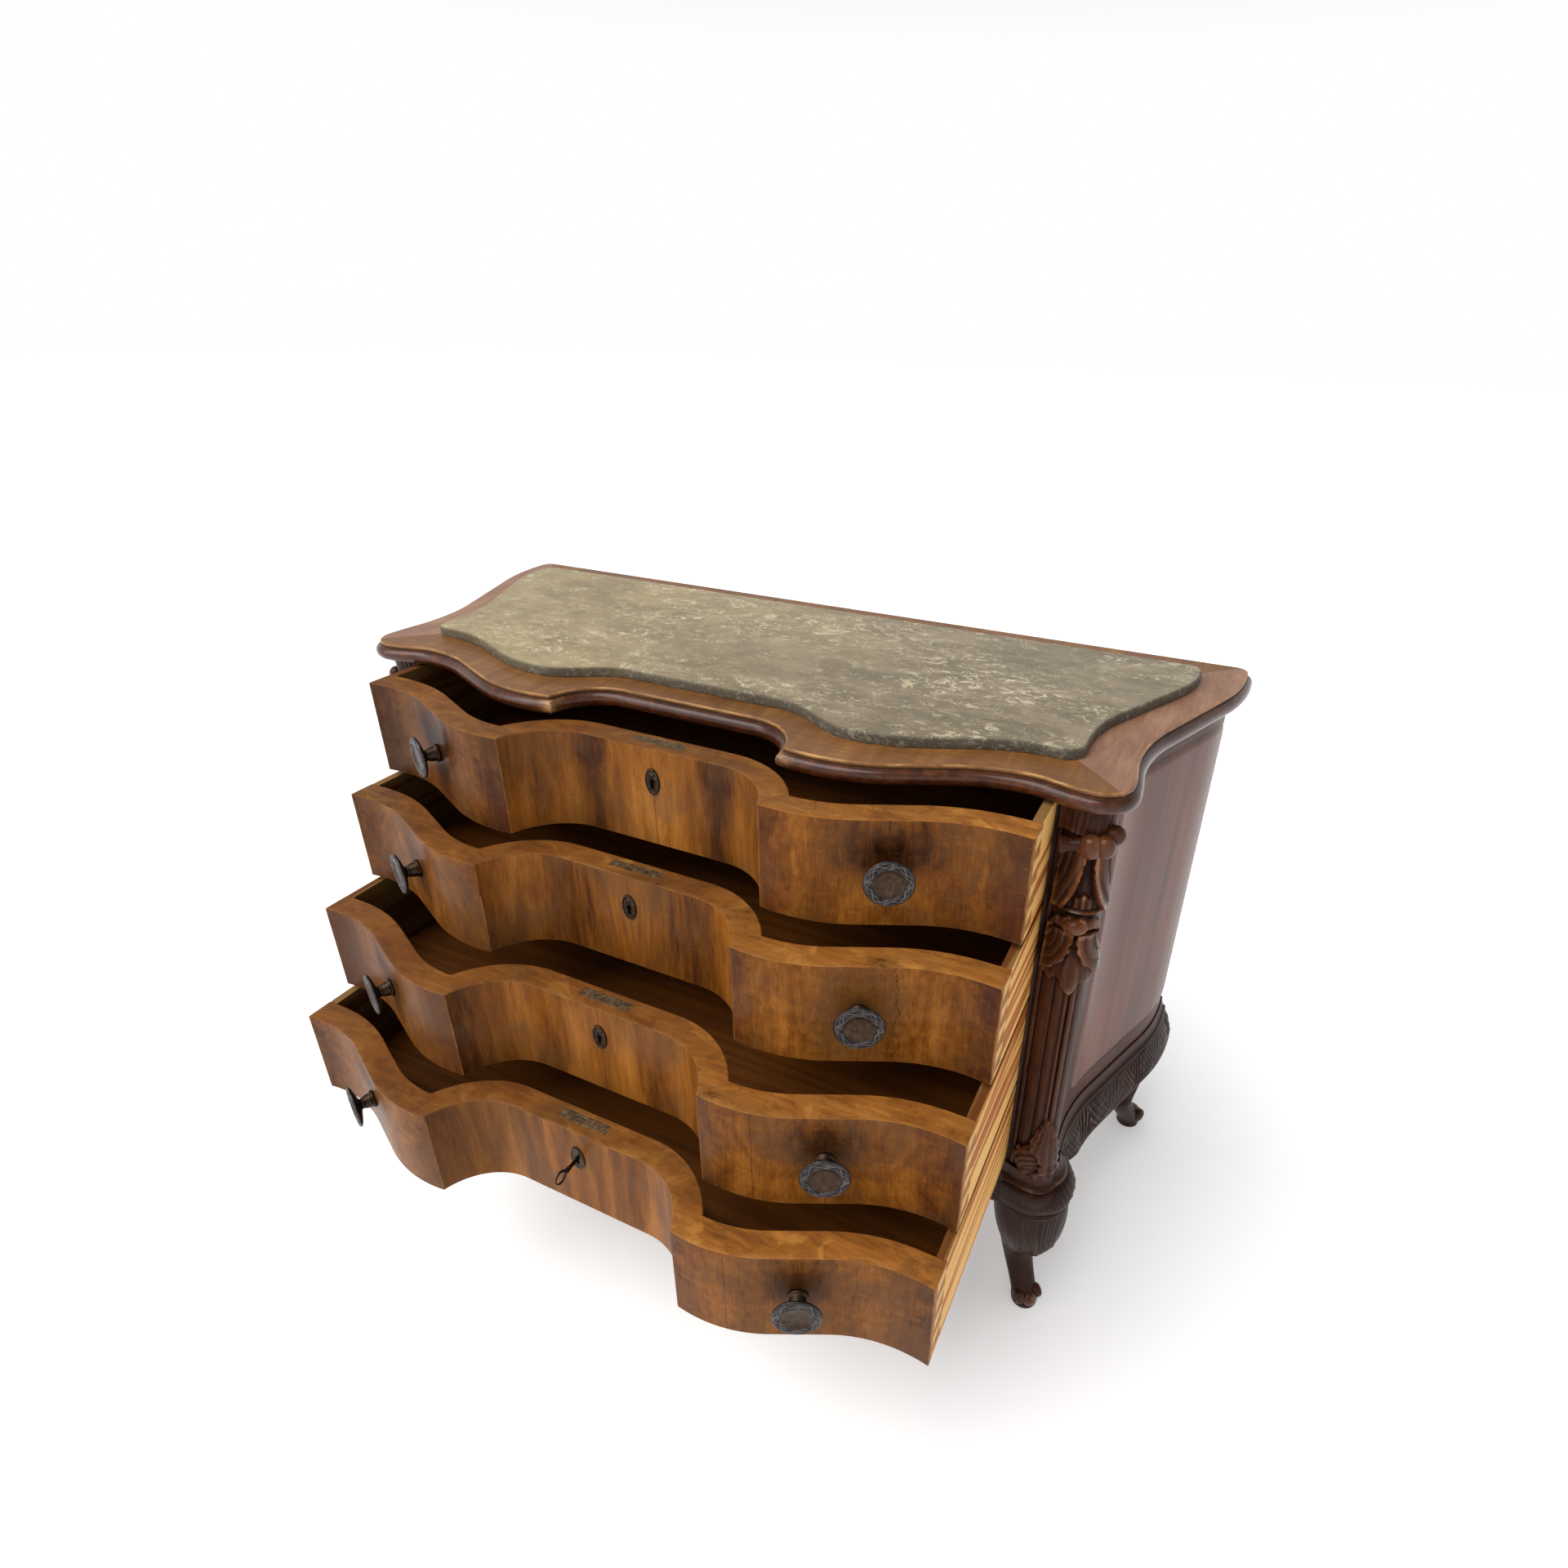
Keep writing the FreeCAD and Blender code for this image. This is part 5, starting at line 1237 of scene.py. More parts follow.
# %% Profile of the base
band_rows = np.linspace(0, 1, 30)
base_profile = [(-20.0, BASE_LOW), (20.0, BASE_LOW), (24.2, 216.5), (26.2, 217.8)]
base_profile += [(26.4 - 16.0 * s + 2.6 * math.sin(s * math.pi), BAND_LOW + BAND_TALL * s) for s in band_rows]
base_profile += [(9.4, 262.8), (10.4, 263.8), (10.8, 265.4), (10.2, 267.0), (8.8, 267.8)]
base_profile += [(8.4 - 5.4 * math.sin(t), 268.4 + 14.6 * (1 - math.cos(t))) for t in np.linspace(0.0, 1.57, 8)]
base_profile += [(2.2, 284.0), (2.2, CASE_LOW), (-20.0, CASE_LOW)]
profile_out, profile_up = np.array(base_profile).T
print(f"base profile: {len(base_profile)} rows, {profile_up.min():.0f} to {profile_up.max():.0f} mm high")


def base_patch(plan, meets):
    """The base profile along a plan: every row is the plan at its out, and the band's relief moves a
    point towards the plan 4 mm further out. Near an end that meets a leg's drum, the profile draws in
    so that the band flows into the drum."""
    along = along_line(plan(12))
    from_ends = zip((along, along[-1] - along), meets)
    ends = np.minimum(*(distance if meet else distance + 999 for distance, meet in from_ends))
    drawn = (1 - soft(ends, 4, 58))[None, :, None]
    near, far = swept(plan, base_profile), swept(plan, [(out + 4, height) for out, height in base_profile])
    inner = swept(plan, [(min(out, 9.0), height) for out, height in base_profile])
    relief = leaf_band(along[None, :], profile_up[:, None]) * (profile_out[:, None] > 9)
    # The mark sinks in the strokes as painted shade and dirt, and rises on ridges as painted highlight and wear.
    high = np.clip(0.5 + (relief - softened(relief, 3)) / 2.6, 0, 1)
    high = np.where((profile_up > 262.5)[:, None], 0.62, high)
    shape = near * (1 - drawn) + inner * drawn
    return patch(shape + (far - near) * relief[..., None] / 4, rows_meet=True, high=high)


# %% [markdown]
# ## Along the front and the sides
# The base runs between the drums of the legs, and along the sides to the back. It could be made too long
# and cut with a plane; here the lines simply end where they enter a drum, so nothing has to be cut.

# %% Lines of the base
def even_plan(lines, step):
    """A plan function whose points stay evenly spaced on its lines: the spacing is found once on the
    face, and the same shares of each line are used at every out."""
    fine = lines(0)
    distance = along_line(fine)
    count = int(distance[-1] / step)
    share = np.interp(np.linspace(0, distance[-1], count), distance, np.arange(len(fine)))
    low = np.minimum(share.astype(int), len(fine) - 2)
    part = (share - low)[:, None]

    def plan(out):
        points = lines(out)
        return points[low] * (1 - part) + points[low + 1] * part
    return plan


drum_middle = at(497, 30)
front_share = np.concatenate([front_half(0, 60), corner_wave.points(0, 60)])
front_keep = int(np.argmax(np.linalg.norm(front_share - drum_middle, axis=1) < 41))
side_share = np.concatenate([hip_wave.points(0, 60), side_wave.points(0, 60)])
side_keep = int(np.argmax(np.linalg.norm(side_share - drum_middle, axis=1) > 35))


def base_front_lines(out):
    """The front from drum to drum, out from the face."""
    return both_halves(np.concatenate([front_half(out, 60), corner_wave.points(out, 60)])[:front_keep])


def base_side_lines(out):
    """The right side from the drum to the back."""
    lines = np.concatenate([hip_wave.points(out, 60), side_wave.points(out, 60)])[side_keep:]
    return np.concatenate([lines, [flare + ACROSS * out, at(flare[0] + out, case_back)]])


front_base = base_patch(even_plan(base_front_lines, 1.6), (True, True))
piece("front_carved_base", [front_base], [carved_finish],
      nodes=["front_base_moulding"], sharp=60)
side_base = base_patch(even_plan(base_side_lines, 1.6), (True, False))
right_and_left("{}_carved_base", "{}_base_moulding", [side_base], carved_finish, 60)

# %% [markdown]
# ## Legs
# Each leg hangs from the base as a carved knee, turns in under a ragged ledge to a slim ankle and ends
# in a scrolled toe. It could grow from a skin modifier, but gouges need a place to be counted from. So a
# leg is rings of points: the ring's middle and radius follow the height, and the gouges are a height
# over (turn, height). The front legs carry a drum that goes on the base's band.

# %% Drum at the head of a front leg
def through(x, places, values):
    """A smooth line through given values: cubic pieces whose slopes are those of the neighbours."""
    places, values = np.asarray(places, float), np.asarray(values, float)
    slopes = np.gradient(values, places)
    n = np.clip(np.searchsorted(places, x) - 1, 0, len(places) - 2)
    step = places[n + 1] - places[n]
    s = (x - places[n]) / step
    return ((2 * s ** 3 - 3 * s ** 2 + 1) * values[n] + (s ** 3 - 2 * s ** 2 + s) * step * slopes[n]
            + (3 * s ** 2 - 2 * s ** 3) * values[n + 1] + (s ** 3 - s ** 2) * step * slopes[n + 1])


corner_plan = np.concatenate([
    front_share[-70:], arc(corner_centre, corner_front, corner_side, 30), side_share[:110]]) - drum_middle
plan_turn, plan_reach = np.arctan2(corner_plan[:, 1], corner_plan[:, 0]), np.linalg.norm(corner_plan, axis=1)
print(f"the corner lies {plan_reach.min():.0f} to {plan_reach.max():.0f} mm from the drum's middle")


def drum_rows(turn, heading):
    """Heights, radii and marks of the drum's rings. The radius is smooth through a list of heights, but
    at least the corner's own reach; strokes are cut between its upper and its lower bead."""
    lift = np.array([217, 218, 219.5, 221, 222.5, *np.linspace(224, 261, 26),
                     262.5, 264, 266, 268, 271, 274, 277, 280, 283, 285])[:, None]
    outer = through(lift, [216, 218.5, 221, 224, 229, 236, 244, 252, 258, 264, 272, 285],
                    [50.5, 52.5, 50.0, 53.2, 55.6, 56.4, 55.0, 51.4, 47.0, 41, 36, 30])
    follow = through(lift, [216, 222, 240, 258, 262, 265.5, 268, 274, 285], [6, 12, 16, 13, 10, 11, 8.5, 5.5, 2.5])
    facing = np.mod(turn + heading + math.pi, 2 * math.pi) - math.pi
    outer = np.maximum(outer, np.interp(facing, plan_turn, plan_reach) + follow)
    outer = outer + 2.6 * bell(lift, 265.6, 2.0) - 1.6 * bell(lift, 260.5, 2.0)
    # Painted highlight on the upper and lower beads, and painted shade in the creases beside them.
    lip_highlight_and_crease_shade = 0.24 * bell(lift, 266, 1.8) - 0.36 * bell(lift, 261, 1.8) - 0.3 * bell(lift, 271, 2.2)
    lip_highlight_and_crease_shade = lip_highlight_and_crease_shade + 0.24 * bell(lift, 218.6, 1.2) - 0.38 * bell(lift, 221.3, 1.1)
    band = soft(lift, 223, 228) * (1 - soft(lift, 256, 262))
    leaves = strands(turn / (2 * math.pi) * 36 + 0.5 * np.sin(turn * 4) + 0.5 * np.sin((lift - 242) / 12))
    deep = 0.2 + 0.8 * soft(np.cos(turn - 1.0), 0.3, 0.9)
    swell = ripple(55 * np.cos(turn), 55 * np.sin(turn) + lift, 9, 34)
    relief = band * (1.5 * (leaves - 0.4) * deep + 0.9 * swell)
    carved = 0.46 + (relief - softened(relief, 2)) / 2.6
    return lift, outer + relief, np.clip(np.where(lift > 262, 0.55, carved) + lip_highlight_and_crease_shade, 0, 1)


# %% [markdown]
# ## Toes
# A foot ends in a ball between two small volutes. They are undercut like the capital's forms, so they are
# turned about the foot's cross axis, which a lathe could do too.

# %% Toes
def toe_patches(foot, ahead, across, grow):
    """A flattened ball with a volute turned on each side of it; grow widens all three."""
    volute = [(-6, 0.4), (-6, 8.2), (-3, 10.0), (3, 10.2), (5.6, 9.0), (6.6, 7.2), (6.0, 6.0), (4.9, 5.2),
              (4.9, 4.4), (6.4, 3.6), (7.2, 2.0), (7.3, 0.4)]
    volute = [(along * grow, radius * grow) for along, radius in volute]
    curls = np.array([*(foot + ahead * 28), 17.0 * grow])
    toes = [ball(np.array([*(foot + ahead * 31), 12.6 * grow]), 12.6 * grow, across, 0.95),
            turned(volute, curls + across * 14, across), turned(volute, curls - across * 14, -across)]
    return [patch(toe, columns_meet=True, high=level) for toe, level in zip(toes, (0.85, 0.7, 0.7))]


# %% [markdown]
# ## Knee, ankle and ledge
# The knee is broad and deeply gouged, and on its outer side it breaks off in a ragged ledge over the
# ankle. Two lists of girths, one with the ledge and one without, are mixed round the leg, because
# a single turned profile would carry the ledge all the way round.

# %% Leg rings
def leg_patches(knee, middle, heading, head, stride=0.0, grow=1.0):
    """A leg's rings from the floor up. Radius and reach are smooth through a list of heights; the knee
    is cut by upright gouges. On its outer side it ends in a scalloped ledge, and on the other it
    flows into the leg: two lists of girths are mixed by the turn. The stride carries the foot further,
    and grow widens its toes."""
    levels = [0, 6, 15, 34.6, 60.5, 80, 94, 104, 116, 130, 151, 190, 212, BASE_LOW]
    ledged = [0.0, 0.02, 0, 0.01, 0.06, 0.12, 0.2, 0.42, 0.66, 0.82, 0.94, 1.0, 0.95, 0.93]
    flowing = [0.0, 0.02, 0, 0.01, 0.08, 0.17, 0.27, 0.36, 0.48, 0.63, 0.82, 0.98, 0.95, 0.93]
    reach = [22, 21.6, 18.7, 7.7, -5.5, -11, -9.9, -6.5, -3, -1, 0, 0, 0, 0]
    slim = 18.8
    rows = np.concatenate([np.linspace(0, 84, 44), np.linspace(85, BASE_LOW, 88)])
    turn = full_turn(240)[None, :]
    circle = turn / (2 * math.pi)
    scallop = 6.0 * (gouges(circle, 11) - 0.5) + 2.0 * np.sin(turn * 5 + 1)
    z = rows[:, None]
    shaped = np.clip(z + scallop * soft(z, 84, 98) * (1 - soft(z, 108, 124)), 0, BASE_LOW)
    share = soft(np.cos(turn - 1.4), -0.6, 0.4)
    girth = through(shaped, levels, ledged) * share + through(z, levels, flowing) * (1 - share)
    radius = slim + (knee - slim) * girth
    window = soft(z, 96, 112) * (1 - soft(z, 204, 212))
    deep = 0.3 + 0.7 * soft(np.cos(turn - 0.4), 0.1, 0.9)
    sway = 0.6 * np.sin(turn * 3) + 0.5 * np.sin(turn * 7) + 0.4 * np.sin(z / 23 + turn * 2)
    strokes = strands(circle * 30 + sway)
    swell = ripple(50 * np.cos(turn), 50 * np.sin(turn) + z * 0.3, 8, 36)
    cut = window * (1.9 * (strokes - 0.4) * deep * (1.15 - 0.5 * soft(z, 110, 190)) + 1.6 * swell)
    ledge = -4.0 * bell(shaped, 92, 7) * share
    ring = 1.8 * bell(z, 213.5, 2.0)
    radius = radius + cut + ledge * (knee / 52) + ring
    # The mark sinks in the gouges as painted shade and dirt, and rises on ridges as painted highlight and wear.
    carved = np.clip(0.46 + (cut - softened(cut, 3)) / 2.6 + 0.3 * bell(shaped, 108, 8) * share, 0, 1)
    # The ring just under the ledge gets a lower mark: painted shade under the overhang.
    high = carved * np.clip(0.55 + soft(z, 94, 108) * 0.6 + (z < 86) * 0.45, 0, 1)
    if head:
        lift, drum, drum_high = drum_rows(turn, heading)
        rows = np.concatenate([rows, lift[:, 0]])
        radius, high = np.concatenate([radius, drum]), np.concatenate([high, drum_high])
    out = (through(np.clip(rows, 0, BASE_LOW), levels, reach) + stride * (1 - soft(rows, 8, 130)))[:, None]
    ahead = np.array([math.cos(heading), math.sin(heading)])
    aside = np.array([-ahead[1], ahead[0]])
    forward, sideways = out + radius * np.cos(turn), radius * np.sin(turn)
    plan = np.asarray(middle) + forward[..., None] * ahead + sideways[..., None] * aside
    foot, across = np.asarray(middle) + ahead * stride, np.array([*aside, 0])
    rings = patch(lifted(plan, rows[:, None]), columns_meet=True, high=high)
    return [rings] + toe_patches(foot, ahead, across, grow)


front_leg = leg_patches(52, drum_middle, -math.pi / 4, True)
rear_leg = leg_patches(30, (580, 394), math.radians(64), False, 16, 1.2)
for shapes, name in ((front_leg, "front"), (rear_leg, "rear")):
    right_and_left(name + "_{}_carved_leg", name + "_{}_leg", shapes, carved_finish, 60)

# %% [markdown]
# ## Old bronze and iron
# Knobs, keyhole plates and key are dark bronze that is bright only where it stands up, and the locks are
# iron gone brown. A single metal colour would look new, so tone follows a mark of how high a point
# stands, and a noise stands for the patina.

# %% Metal finishes
def aged_bronze():
    f = Finish("aged_bronze", Metallic=1.0, Specular_IOR_Level=0.5)
    patina = f.noise(f.place(), 5.5, 5, 0.65)
    fine = f.noise(f.place(), 0.9, 3, 0.6)
    high = f.mark("high")
    tone = patina * 0.4 + high * 0.55 + fine * 0.1
    brown = f.ramp(
        tone, (0.24, paint(26, 18, 14)), (0.45, paint(64, 50, 40)), (0.62, paint(98, 84, 66)),
        (0.85, paint(150, 132, 104)))
    grey = f.ramp(
        tone, (0.24, paint(24, 21, 21)), (0.42, paint(54, 50, 50)), (0.62, paint(96, 91, 89)),
        (0.85, paint(166, 160, 150)))
    colour = f.mix(f.mark("ring"), brown, grey)
    return f.finish(colour, 0.32 + patina * 0.25 - high * 0.08, patina * 0.3 + fine * 0.2, 0.0002, 0.5)


def old_iron():
    f = Finish("old_lock_iron", Metallic=0.75, Specular_IOR_Level=0.5)
    rust = f.noise(f.place(), 6, 5, 0.65)
    fine = f.noise(f.place((0.2, 1, 1)), 0.8, 3, 0.6)
    colour = f.ramp(rust, (0.3, paint(62, 46, 31)), (0.5, paint(106, 85, 60)), (0.7, paint(138, 114, 82)))
    return f.finish(colour, 0.42 + rust * 0.25, rust * 0.4 + fine * 0.3, 0.0002, 0.6)


bronze_finish, iron_finish = aged_bronze(), old_iron()

# %% [markdown]
# ## Knobs
# The knobs are cast discs with a raised border of scrolls, on dark turned stems. The casting could be
# displaced by a texture, but the meshes are a result of their own, so the disc is a turned profile with
# the scrolls added as a height over (radius, turn).

# %% Knobs
KNOB_UP, knob_lean = 70.5, front_wave.slope


def knob_patches(side, level, opening):
    """A knob: its profile of (distance from the drawer, radius) turned about an axis square to the
    face. The border's scrolls are two thin ridges that swing across it as cosines of the turn, with
    small fluted shells between them."""
    profile = [(0, 0.6), (0, 11.0), (1.0, 11.8), (2.6, 11.9), (3.8, 11.2), (4.6, 10.0), (6, 9.6), (9, 9.2), (12, 8.4),
               (14, 7.4), (15.4, 6.8), (16.6, 7.4), (17.8, 10.0), (19, 14.5), (20.3, 19.5), (21.6, 23.8), (22.8, 26.6),
               (23.8, 27.4), (24.8, 27.5), (25.6, 27.0), (26.0, 26.2)]
    border = [(26.05 + 0.3 * math.sin(s * math.pi), 26.0 - 8.2 * s) for s in np.linspace(0.0, 1.0, 19)]
    dish = [(26.3, 17.5), (26.6, 17.0), (26.4, 16.4), (25.6, 15.4), (25.0, 12.0), (24.7, 7.0), (24.6, 0.5)]
    profile = profile + border + dish
    middle = np.array([side * KNOB_ACROSS, -30 - opening, drawer_floor(level) + KNOB_UP])
    axis = np.array([side * math.sin(knob_lean), -math.cos(knob_lean), 0])
    shape = turned(profile, middle, axis, 120)
    along, radius = np.array(profile).T
    turn = full_turn(120)
    inside = ((radius < 25.9) & (radius > 17.9) & (along > 25.8))[:, None]
    across, turn = (radius[:, None] - 21.9) / 4.0, turn[None, :]
    phase = 6 * turn + 0.5 * np.sin(2 * turn)
    stems = np.maximum(
        bell(across, 0.62 * np.cos(phase), 0.2), 0.8 * bell(across, -0.5 * np.cos(phase + 0.9), 0.17))
    shells = np.clip(np.cos(4 * turn + 0.5), 0, 1) ** 5 * gouges(turn / (2 * math.pi), 48)
    leaves = np.maximum(stems, shells * 0.9) * np.clip(1.15 - across ** 2, 0, 1)
    lines = bell(np.abs(across), 0.9, 0.13) * (0.75 + 0.25 * gouges(turn / (2 * math.pi), 40))
    relief = np.where(inside, leaves * 0.75 + lines * 0.6, 0)
    shape = shape + axis * relief[..., None]
    plain = np.where(along > 24.3, np.where(radius < 17, 0.38, 0.34), np.where(along > 16, 0.2, 0.34))
    high = np.where(inside, np.clip(0.16 + relief * 0.8, 0, 1), plain[:, None])
    return patch(shape, columns_meet=True, high=high, ring=((radius > 16.8) & (along > 18))[:, None] * 1.0)


for level, (drawer, opening) in enumerate(DRAWERS.items()):
    knobs = [knob_patches(side, level, opening) for side in (-1, 1)]
    piece(f"{drawer}_disc_knobs", knobs, [bronze_finish], drawer, [f"{drawer}_knobs"], sharp=50)

# %% [markdown]
# ## Keyhole plates
# Each keyhole has a small oval plate with a beaded rim. It could be a disc with a Boolean hole; rings that
# run from the rim to the hole's own outline give the same plate with clean rows for the beads.

# %% Keyhole plates
def plate_patch(level, opening):
    """An oval plate with a keyhole: rings of points that go from the rim's back over the beaded rim and
    the dished middle to the keyhole and back, so that the surface closes on itself."""
    turn = full_turn(120)[None, :]
    oval = 1 / np.sqrt((np.cos(turn) / 10.2) ** 2 + (np.sin(turn) / 18.0) ** 2)
    hole = keyhole_reach(turn, 0.1)
    rows = np.array([
        (1.0, 0.0), (1.0, 0.9), (0.985, 1.3), (0.95, 1.55), (0.9, 1.7), (0.85, 1.7), (0.8, 1.5), (0.76, 1.2),
        (0.7, 1.25), (0.6, 1.45), (0.5, 1.55), (0.4, 1.6), (0.3, 1.6), (0.2, 1.6), (0.1, 1.6), (0.03, 1.5),
        (0.0, 1.2), (0.0, 0.0)])
    share, proud = rows[:, :1], rows[:, 1:]
    reach = hole + (oval - hole) * share
    beads = gouges(turn / (2 * math.pi), 26) * bell(share, 0.88, 0.07)
    scrolls = gouges(turn / (2 * math.pi), 8) * bell(share, 0.55, 0.14)
    proud = proud + 0.8 * beads + 0.45 * scrolls
    middle = np.array([0, -opening, drawer_floor(level) + KEYHOLE_UP])
    shape = middle + np.stack(np.broadcast_arrays(reach * np.cos(turn), -proud, reach * np.sin(turn)), axis=-1)
    high = np.clip(0.16 + beads * 0.5 + scrolls * 0.4, 0, 1)
    return patch(shape, rows_meet=True, columns_meet=True, high=high)


for level, (drawer, opening) in enumerate(DRAWERS.items()):
    piece(f"{drawer}_keyhole_plate", [plate_patch(level, opening)], [bronze_finish], drawer,
          [f"{drawer}_escutcheon"], sharp=50)

# %% [markdown]
# ## Locks
# A lock is an iron case in the front's pocket under an edge plate with two screws, and its bolt comes up
# through a slot. The slot could be cut; as the plate is a frame between two outlines, it is simply the
# inner one. The bolts themselves are plain and stay CAD.

# %% Locks
def frame_patch(outer, hole, rows, middle):
    """A plate with a hole through it: rings between an outer and an inner outline with equal numbers
    of points, at the shares and heights of the rows, closed on itself."""
    return patch(np.stack([lifted(hole + (outer - hole) * share + middle, height) for share, height in rows]),
                 rows_meet=True, columns_meet=True)


def screw_patch(x, y, top):
    """A screw head as a low turned dome whose middle is pressed in along a slot."""
    profile = [(0, 0.3), (0, 2.6), (0.25, 2.55), (0.4, 2.2), (0.5, 1.4), (0.5, 0.4)]
    shape = turned(profile, (x, y, top), (0, 0, 1), 32)
    slot = (np.abs(shape[..., 1] - y - 0.4 * (shape[..., 0] - x)) < 0.4) & (shape[..., 2] > top + 0.2)
    shape[..., 2] -= np.where(slot, 0.35, 0)
    return patch(shape, columns_meet=True)


def lock_patches(level, opening):
    """The edge plate with its bolt slot, its two screws, and the case below it in the front's pocket."""
    top = drawer_floor(level) + DRAWER_HIGH
    middle = at(0, LOCK_SETBACK - opening)
    slot = rectangle(15.3, 3.3, 0.6)
    plate = [(1, top - 2), (1, top - 0.35), (0.985, top - 0.1), (0.95, top - 0.05), (0.04, top - 0.05),
             (0, top - 0.15), (0, top - 2)]
    case = [(1, top - 60), (1, top - 2.1), (0, top - 2.1), (0, top - 60)]
    return [frame_patch(rectangle(36, 7, 1.5), slot, plate, middle),
            frame_patch(rectangle(28, 6, 1.0), slot, case, middle),
            screw_patch(-27, middle[1], top - 0.1), screw_patch(27, middle[1], top - 0.1)]


for level, (drawer, opening) in enumerate(DRAWERS.items()):
    piece(f"{drawer}_let_in_lock", lock_patches(level, opening), [iron_finish], drawer,
          [f"{drawer}_lock"])

# %% [markdown]
# ## The key
# One key stands in the bottom drawer's lock: a shank with a collar, a bow of round wire and a flat bit.
# The bow could be a torus, but its wire is thicker at one end, so a circle is carried round an oval.

# %% Key
def key_patches():
    """The key: a turned shank with a collar, an oval bow of round wire, and a flat bit. The bow is a
    circle of wire carried round an oval in the upright plane through the shank."""
    opening, up = DRAWERS["bottom_drawer"], FIRST_FLOOR + KEYHOLE_UP
    shank = [(-24.5, 0.4), (-24.5, 2.2), (-22.6, 2.9), (-21.2, 3.4), (-20, 2.9), (-18.8, 2.6), (-17.8, 3.2),
             (-16.8, 3.2), (-16, 2.5), (-13, 2.3), (0, 2.3), (21.5, 2.3), (22, 2.0), (22, 0.4)]
    rod = turned(shank, (0, -opening, up), (0, 1, 0), 28)
    turn = full_turn(64)[:, None]
    wire = full_turn(18)[None, :]
    thick = 1.5 + 0.3 * np.cos(turn)
    reach_y, reach_z = 7.8 + thick * np.cos(wire), 8.2 + thick * np.cos(wire)
    bow = np.stack(np.broadcast_arrays(
        thick * np.sin(wire) * 0.9, -opening - 32.4 + reach_y * np.cos(turn), up + reach_z * np.sin(turn)), axis=-1)
    bit = np.stack([
        np.insert(rectangle(3.0 - inset, 4.0 - inset, 0.5) + at(19 - opening, up - 4), 0, x, axis=1)
        for x, inset in ((-1.0, 0.3), (-0.7, 0.0), (0.7, 0.0), (1.0, 0.3))])
    return [patch(rod, columns_meet=True, high=0.2), patch(bow, rows_meet=True, columns_meet=True, high=0.28),
            patch(bit, columns_meet=True, high=0.2)]


piece("oval_bow_key", key_patches(), [bronze_finish], "key", ["bottom_drawer_key"], sharp=50)

# %% [markdown]
# ## Pine behind the show wood
# Drawer boxes, rails, runners and the back are plain boards whose CAD shapes are already right, so they
# stay and only get wood. Their pine has bold growth bands: rings of a noise that is stretched along
# the board. The insides of the drawers are painted darker as shade.

# %% Pine finishes
def pine(name, along, pale, mid, deep, contrast=1.0, shade_faces_inside=0):
    """Pine whose grain runs along one axis. Where the last argument is 1 or -1, the faces that look that
    way across the chest keep the pale outside, and all others are painted darker as shade."""
    f = Finish(name, Coat_Weight=0.03, Coat_Roughness=0.4, Specular_IOR_Level=0.15)
    stretch = tuple(0.02 if axis == along else 1.0 for axis in "xyz")
    fibre = f.noise(f.place(stretch), 1.6, 3, 0.6)
    ring_stretch = tuple(0.035 if axis == along else 1.0 for axis in "xyz")
    rings = f.noise(f.place(ring_stretch, (0.04, 0.03, 0.02)), 38, 1, 0.4, 0.3)
    bands = ((rings * 27.0).sum("SINE") * 0.5 + 0.5).between(0.35, 0.9)
    blotch = f.noise(f.place(), 80, 4, 0.55)
    tone = bands * 0.55 * contrast + fibre * 0.25 + blotch * 0.3
    colour = f.ramp(tone, (0.2, paint(*pale)), (0.52, paint(*mid)), (0.86, paint(*deep)))
    # Inner faces are painted darker as shade.
    if shade_faces_inside:
        facing = f.axis(f.node("ShaderNodeTexCoord", output="Normal"), "X")
        colour = f.mix((facing * -shade_faces_inside + 0.5).between(0.1, 0.6) * 0.85, colour, paint(64, 36, 14))
    return f.finish(colour, 0.55 + fibre * 0.2, fibre * 0.5 + bands * 0.3, 0.0003, 0.5)


# %% [markdown]
# ## The planks behind
# The photo doesn't show the back; five upright planks are a usual way to close it. Five materials could be
# given out, but the CAD back is one node, so one finish counts the planks across and shifts its grain
# for each.

# %% Plank finish
def plank_back():
    """Five upright pine planks, each with its own grain and tone. A plank's number is the whole part of
    the distance across, and it shifts the place where the grain is read; knots are dark cell middles."""
    f = Finish("plank_back_pine", Coat_Weight=0.03, Coat_Roughness=0.5, Specular_IOR_Level=0.2)
    across = (f.axis(f.place(), "X") + 586) / 234.4
    number, share = across.sum("FLOOR"), across.sum("FRACT")
    jump = f.node("ShaderNodeCombineXYZ", {}, {"X": number * 371, "Y": number * 57, "Z": number * 913})

    def read(stretch):
        return f.node("ShaderNodeVectorMath", {"operation": "ADD"}, {0: f.place(stretch), 1: jump})

    fibre = f.noise(read((1, 1, 0.03)), 1.8, 4, 0.62)
    rings = f.noise(read((1, 1, 0.05)), 52, 2, 0.5, 0.5)
    bands = ((rings * 34.0).sum("SINE") * 0.5 + 0.5).between(0.2, 1.0)
    stain = f.noise(f.place((1, 1, 0.5)), 120, 4, 0.6)
    cells = f.node("ShaderNodeTexVoronoi", {}, {"Vector": read((1, 1, 0.6)), "Scale": 1 / 150}, "Distance")
    knot = 1 - cells.between(0.03, 0.075)
    tone = bands * 0.3 + fibre * 0.32 + stain * 0.34 + (number * 0.37).sum("FRACT") * 0.18 - 0.06
    colour = f.ramp(tone, (0.25, paint(146, 108, 68)), (0.5, paint(116, 80, 46)), (0.8, paint(80, 52, 29)))
    colour = f.mix(knot * 0.7, colour, paint(52, 30, 16))
    joint = share.near(0, 0.008) + share.near(1, 0.008)
    colour = f.mix(joint * 0.85, colour, paint(20, 12, 7))
    return f.finish(colour, 0.62 + fibre * 0.2, fibre * 0.5 + bands * 0.2 - joint * 2, 0.0006, 0.5)


